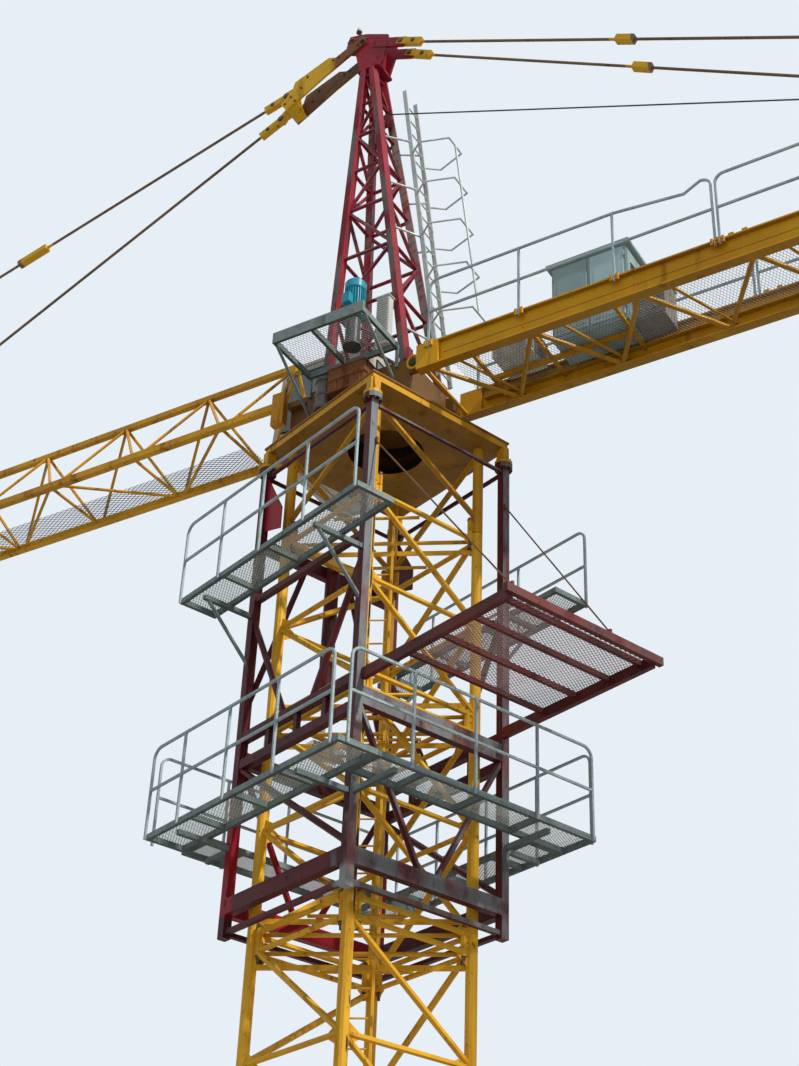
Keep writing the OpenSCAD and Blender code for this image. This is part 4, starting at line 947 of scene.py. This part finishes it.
def frame_lip():
    """Lip round the slewing frame, a rib on each of its slopes, and the bolts of the collars."""
    outer, inner, half = 1.066, 1.048, 0.008
    rib = ((-1.049, 14.132), (-0.74, 14.286), (-0.74, 14.27), (-1.02, 14.13))
    at = (-CAGE_HALF, -CAGE_HALF)
    g, bolts = Geo(), Geo()
    for a in (0, 90, 180, 270):
        place = turned(a)
        g.box(place, (-outer, -outer, 14.104), (inner, -inner, 14.134), 0.004)
        g.plate([place(-half, y, z) for y, z in rib], place(2 * half, 0, 0))
        bolts.bolt_circle(place, *at, 13.7195, 0.088, 8, DOWN, 0.026, 0.016, 0.5)
        bolts.bolt_circle(place, *at, 13.8308, 0.088, 8, UP, 0.026, 0.014, 0.5, 0.02)
    g.make("frame_lip", "lip", "yellow_paint", "climbing_frame")
    bolts.make("collar_bolts", "bolt", "dark_steel", "climbing_frame")


# Head, stays and lamp
LINK_BOLTS = ((0.74, 21.6), (1.06, 21.52), (1.16, 21.5), (1.6, 21.38), (1.7, 21.2), (1.88, 21.1),
              (1.98, 21.0), (1.8, 20.98))
HEAD_BOLTS = ((0.34, 21.05), (0.5, 21.05), (0.66, 21.05), (0.4, 21.62), (0.6, 21.7), (0.78, 21.76))


def head_pins():
    """Pins and bolts of the head, the link plates and the stay forks, on both sides."""
    g = Geo()
    for i in (-1, 1):
        out = top(0, i, 0)
        for (s, z), w, size, head in ((PIN_FRONT, 0.17, 0.092, 0.03), (PULLEY, 0.135, 0.066, 0.022),
                                      (LUG_OUT, 0.043, 0.082, 0.018), (LUG_IN, 0.043, 0.082, 0.018)):
            g.bolt(top(s, i * w, z), out, size, head)
        s, z = PIN_BACK
        for j in (-1, 1):
            g.bolt(top(s, i * 0.126 + j * 0.0385, z), top(0, j, 0), 0.078, 0.014)
        for s, z in LINK_BOLTS:
            g.bolt(top(s, i * 0.166, z), out, 0.034, 0.018)
            g.bolt(top(s, i * 0.1345, z), -out, 0.034, 0.014)
        for s, z in HEAD_BOLTS:
            g.bolt(top(s, i * 0.1355, z), out, 0.03, 0.014)
    g.make("head_pins", "bolt")


def pulley_rims():
    s, z = PULLEY
    rim = [(0, 0.1), (0, 0.16), (0.012, 0.16), (0.012, 0.1)]
    g = Geo()
    for w in (-0.032, 0.032):
        g.lathe(top(s, w - 0.006, z), W_DIR, rim, 36)
    g.make("pulley_rims", "steel")


def lamp():
    """Warning lamp on its bracket at the very top."""
    post, s = 0.8, 0.84
    g, lens = Geo(), Geo()
    g.tube([top(post, 0, 21.88), top(post, 0, 22.06), top(s, 0, 22.1)], 0.012)
    g.lathe(top(s, 0, 22.08), UP, [(0, 0.02), (0.005, 0.045), (0.03, 0.045), (0.034, 0.038)])
    g.tube([top(post, -0.09, 21.865), top(post, 0.09, 21.865)], 0.014)
    lens.lathe(top(s, 0, 22.112), UP, [(0, 0.036), (0.05, 0.036), (0.07, 0.028), (0.078, 0.012)])
    g.make("lamp_bracket", "steel")
    lens.make("lamp_lens", "white", "white_paint")


def second_pins():
    """Second pin of each stay's fork, a step down the stay from the first one."""
    back_foot = (CJ_END_S, CJ_TOP + 0.11)
    stays = [(LUG_OUT, 0, FOOT_OUT, 0), (LUG_IN, 0, FOOT_IN, 0)]
    stays += [(PIN_BACK, j * 0.126, back_foot, j * CJ_W) for j in (-1, 1)]
    g = Geo()
    for (s0, z0), w0, (s1, z1), w1 in stays:
        lug = top(s0, w0, z0)
        pin = lug + (top(s1, w1, z1) - lug).normalized() * 0.25
        for i in (-1, 1):
            g.bolt(pin + top(0, i * 0.042, 0), top(0, i, 0), 0.056, 0.016)
    g.make("second_pins", "bolt")


# Winch, weights and girders

def drum_rope():
    """The rope's turns on the drum."""
    turns, steps, radius, half = 26, 20, 0.2005, 0.312
    path = []
    for k in range(turns * steps + 1):
        a = math.tau * k / steps
        w = -half + 2 * half * k / (turns * steps)
        path.append(top(WINCH_S + radius * math.sin(a), w, DRUM_Z + radius * math.cos(a)))
    g = Geo()
    g.tube(path, 0.0108, 6)
    g.make("drum_rope", "rope")


def winch():
    """Drum flanges, bearing covers with bolts, and the hoist motor with its fins."""
    flange = [(0, 0.17), (0, 0.258), (0.016, 0.258), (0.016, 0.17)]
    g = Geo()
    for w in (-0.338, 0.322):
        g.lathe(top(WINCH_S, w, DRUM_Z), W_DIR, flange, 40)
    for sign in (1, -1):
        w, out = sign * 0.42, top(0, sign, 0)
        g.lathe(top(WINCH_S, w, DRUM_Z), out, [(0, 0.12), (0.02, 0.12), (0.025, 0.07), (0.05, 0.065)], 28)
        for c, n in around(8):
            g.bolt(top(WINCH_S + 0.097 * c, w + sign * 0.02, DRUM_Z + 0.097 * n), out, 0.02, 0.012)
        for s in (WINCH_S - 0.19, WINCH_S + 0.19):
            g.bolt(top(s, w - sign * 0.04, CJ_TOP + 0.5705), UP, 0.034, 0.02)
    s, z = WINCH_S + 0.32, CJ_TOP + 0.195
    case = [(0, 0.06), (0, 0.142), (0.1, 0.142), (0.1, 0.134), (0.52, 0.134), (0.52, 0.142), (0.61, 0.142),
            (0.61, 0.06)]
    g.lathe(top(s, -0.305, z), W_DIR, case, 32)
    fin = [(0, 0.13), (0, 0.147), (0.008, 0.147), (0.008, 0.13)]
    for k in range(14):
        g.lathe(top(s, -0.19 + k * 0.027, z), W_DIR, fin, 32)
    g.make("winch_fittings", "winch", "cabinet_paint")


def weight_eyes():
    """Lifting eyes and keeper bars of the counterweights."""
    eye_r = 0.055
    bend = [math.pi * q / 10 for q in range(11)]
    g = Geo()
    for k in range(4):
        s = -12.06 + k * 0.27
        for w in (-0.3, 0.3):
            arch = [top(s, w + eye_r * math.cos(a), CJ_TOP + 0.262 + eye_r * math.sin(a)) for a in bend]
            g.tube(arch, 0.011)
    for w in (-0.43, 0.43):
        g.box(top, (-12.2, w - 0.02, CJ_TOP + 0.2605), (-11.11, w + 0.02, CJ_TOP + 0.272), 0.003)
    g.make("weight_eyes", "steel")


def rail_foot(g, s, j):
    """Clamp with two jaws and bolts round the foot of one post of the handrail."""
    w = j * (CJ_W + CJ_T / 2)
    lo_w, hi_w = sorted((w, w + j * 0.034))
    for side in (-1, 1):
        lo_s, hi_s = sorted((s + side * 0.02, s + side * 0.055))
        g.box(top, (lo_s, lo_w, CJ_TOP - 0.088), (hi_s, hi_w, CJ_TOP + 0.004), 0.003)
        g.bolt(top(s + side * 0.037, w + j * 0.034, CJ_TOP - 0.045), top(0, j, 0), 0.02, 0.012)


def girder_fittings():
    """Root eyes, lugs at the girder joint, feet of the handrails and bolts of the stay feet."""
    root_s, root_z = -0.7, 14.77
    g, eyes = Geo(), Geo()
    for j in (-1, 1):
        g.eye(root_s, j * (CJ_W + 0.035), root_z, 0.075, 0.095, 0.016, 24)
        eyes.lathe(top(root_s, j * (CJ_W + 0.026), root_z), top(0, j, 0),
                   [(0, 0.058), (0.01, 0.058), (0.012, 0.046), (0.022, 0.044)], 24)
        for s in (-4.93, -4.77):
            lug = ((s - 0.045, 0), (s + 0.045, 0), (s + 0.03, 0.085), (s - 0.03, 0.085))
            g.plate([top(x, j * CJ_W - 0.008, CJ_TOP + z) for x, z in lug], top(0, 0.016, 0))
        for first, posts in ((0.92, 4), (4.65, 5)):
            for k in range(posts):
                rail_foot(g, -first - k * POST_PITCH - 0.013, j)
        for s in (CJ_END_S, CJ_END_S + 0.25):
            for q in (-1, 1):
                g.bolt(top(s, j * CJ_W + q * 0.045, CJ_TOP + 0.085), top(0, q, 0), 0.04, 0.018)
    g.make("girder_fittings", "girder", "yellow_paint")
    eyes.make("girder_eye_pins", "grease")


deck_mesh("lower_deck_mesh", LOW_SIDES, LOW_DECK_Z, "lower_walkway_mesh")
deck_mesh("upper_deck_mesh", UP_SIDES, UP_DECK_Z, "upper_walkway_mesh")
for build in (feed_mesh, jib_mesh, counter_jib_mesh, mast_bolts, plan_bracing, anchor_bolts, cab,
              cab_brackets, cabinet, cable_box, louvres, slewing_motor, gearbox, slewing_ring, frame_lip,
              head_pins, pulley_rims, lamp, drum_rope, winch, weight_eyes, girder_fittings, mast_gussets,
              second_pins):
    build()


# Stage, light and camera

def floor():
    """Plain pale floor."""
    r = 400.0
    mesh = bpy.data.meshes.new("floor")
    mesh.from_pydata([(-r, -r, 0), (r, -r, 0), (r, r, 0), (-r, r, 0)], [], [(0, 1, 2, 3)])
    s = Shader("floor_pale")
    colour = s.mix(s.ramp(s.noise(0.3, 5.0), 0.3, 0.7), (0.39, 0.39, 0.38), (0.44, 0.44, 0.43))
    mesh.materials.append(s.finish(colour, 0.85, s.noise(5.0, 4.0), 0.05, 0.002))
    new_object("floor", mesh)


def sky():
    """Soft light from all round, and a pale background where the camera, metal or glass looks at it."""
    world = bpy.data.worlds.new("studio")
    bpy.context.scene.world = world
    world.use_nodes = True
    world.node_tree.nodes.clear()
    node, link = world.node_tree.nodes.new, world.node_tree.links.new
    path = node("ShaderNodeLightPath")
    shiny, seen_by = node("ShaderNodeMath"), node("ShaderNodeMath")
    shiny.operation = seen_by.operation = "MAXIMUM"
    link(path.outputs["Is Glossy Ray"], shiny.inputs[0])
    link(path.outputs["Is Transmission Ray"], shiny.inputs[1])
    link(path.outputs["Is Camera Ray"], seen_by.inputs[0])
    link(shiny.outputs[0], seen_by.inputs[1])
    mix = node("ShaderNodeMixShader")
    link(seen_by.outputs[0], mix.inputs[0])
    soft, seen = ((0.86, 0.93, 1.0, 1), 0.28), ((0.8, 0.86, 0.92, 1), 1.0)
    for (colour, strength), socket in ((soft, mix.inputs[1]), (seen, mix.inputs[2])):
        light = node("ShaderNodeBackground")
        light.inputs[0].default_value = colour
        light.inputs[1].default_value = strength
        link(light.outputs[0], socket)
    link(mix.outputs[0], node("ShaderNodeOutputWorld").inputs[0])


def sun(name, direction, strength, angle, colour):
    data = bpy.data.lights.new(name, "SUN")
    data.energy = strength
    data.angle = math.radians(angle)
    data.color = colour
    obj = new_object(name, data)
    obj.rotation_mode = "QUATERNION"
    obj.rotation_quaternion = Vector(direction).to_track_quat("-Z", "Y")


def camera():
    """The photo's camera, as it was solved from the photo."""
    yaw, pitch, roll = map(math.radians, (38.5864, 33.311, 2.4347))
    place = Vector((-10.5533, -13.5622, 1.5726))
    focal_px, photo_height_px = 1735.207, 1066
    data = bpy.data.cameras.new("camera")
    data.sensor_width = 36.0
    data.lens = focal_px / photo_height_px * data.sensor_width
    data.clip_end = 900.0
    right = Vector((math.cos(yaw), -math.sin(yaw), 0))
    ahead = Vector((math.sin(yaw) * math.cos(pitch), math.cos(yaw) * math.cos(pitch), math.sin(pitch)))
    up = right.cross(ahead)
    rolled_right = right * math.cos(roll) + up * math.sin(roll)
    rolled_up = up * math.cos(roll) - right * math.sin(roll)
    obj = new_object("camera", data)
    turn = Matrix((rolled_right, rolled_up, -ahead)).transposed().to_4x4()
    obj.matrix_world = Matrix.Translation(place) @ turn
    bpy.context.scene.camera = obj


floor()
sky()
sun("key", (-0.14, 0.68, -0.68), 3.6, 2.0, (1.0, 0.95, 0.86))
sun("fill", (0.75, 0.45, -0.35), 0.35, 40.0, (0.9, 0.95, 1.0))
camera()
bpy.context.scene.view_settings.view_transform = "Standard"
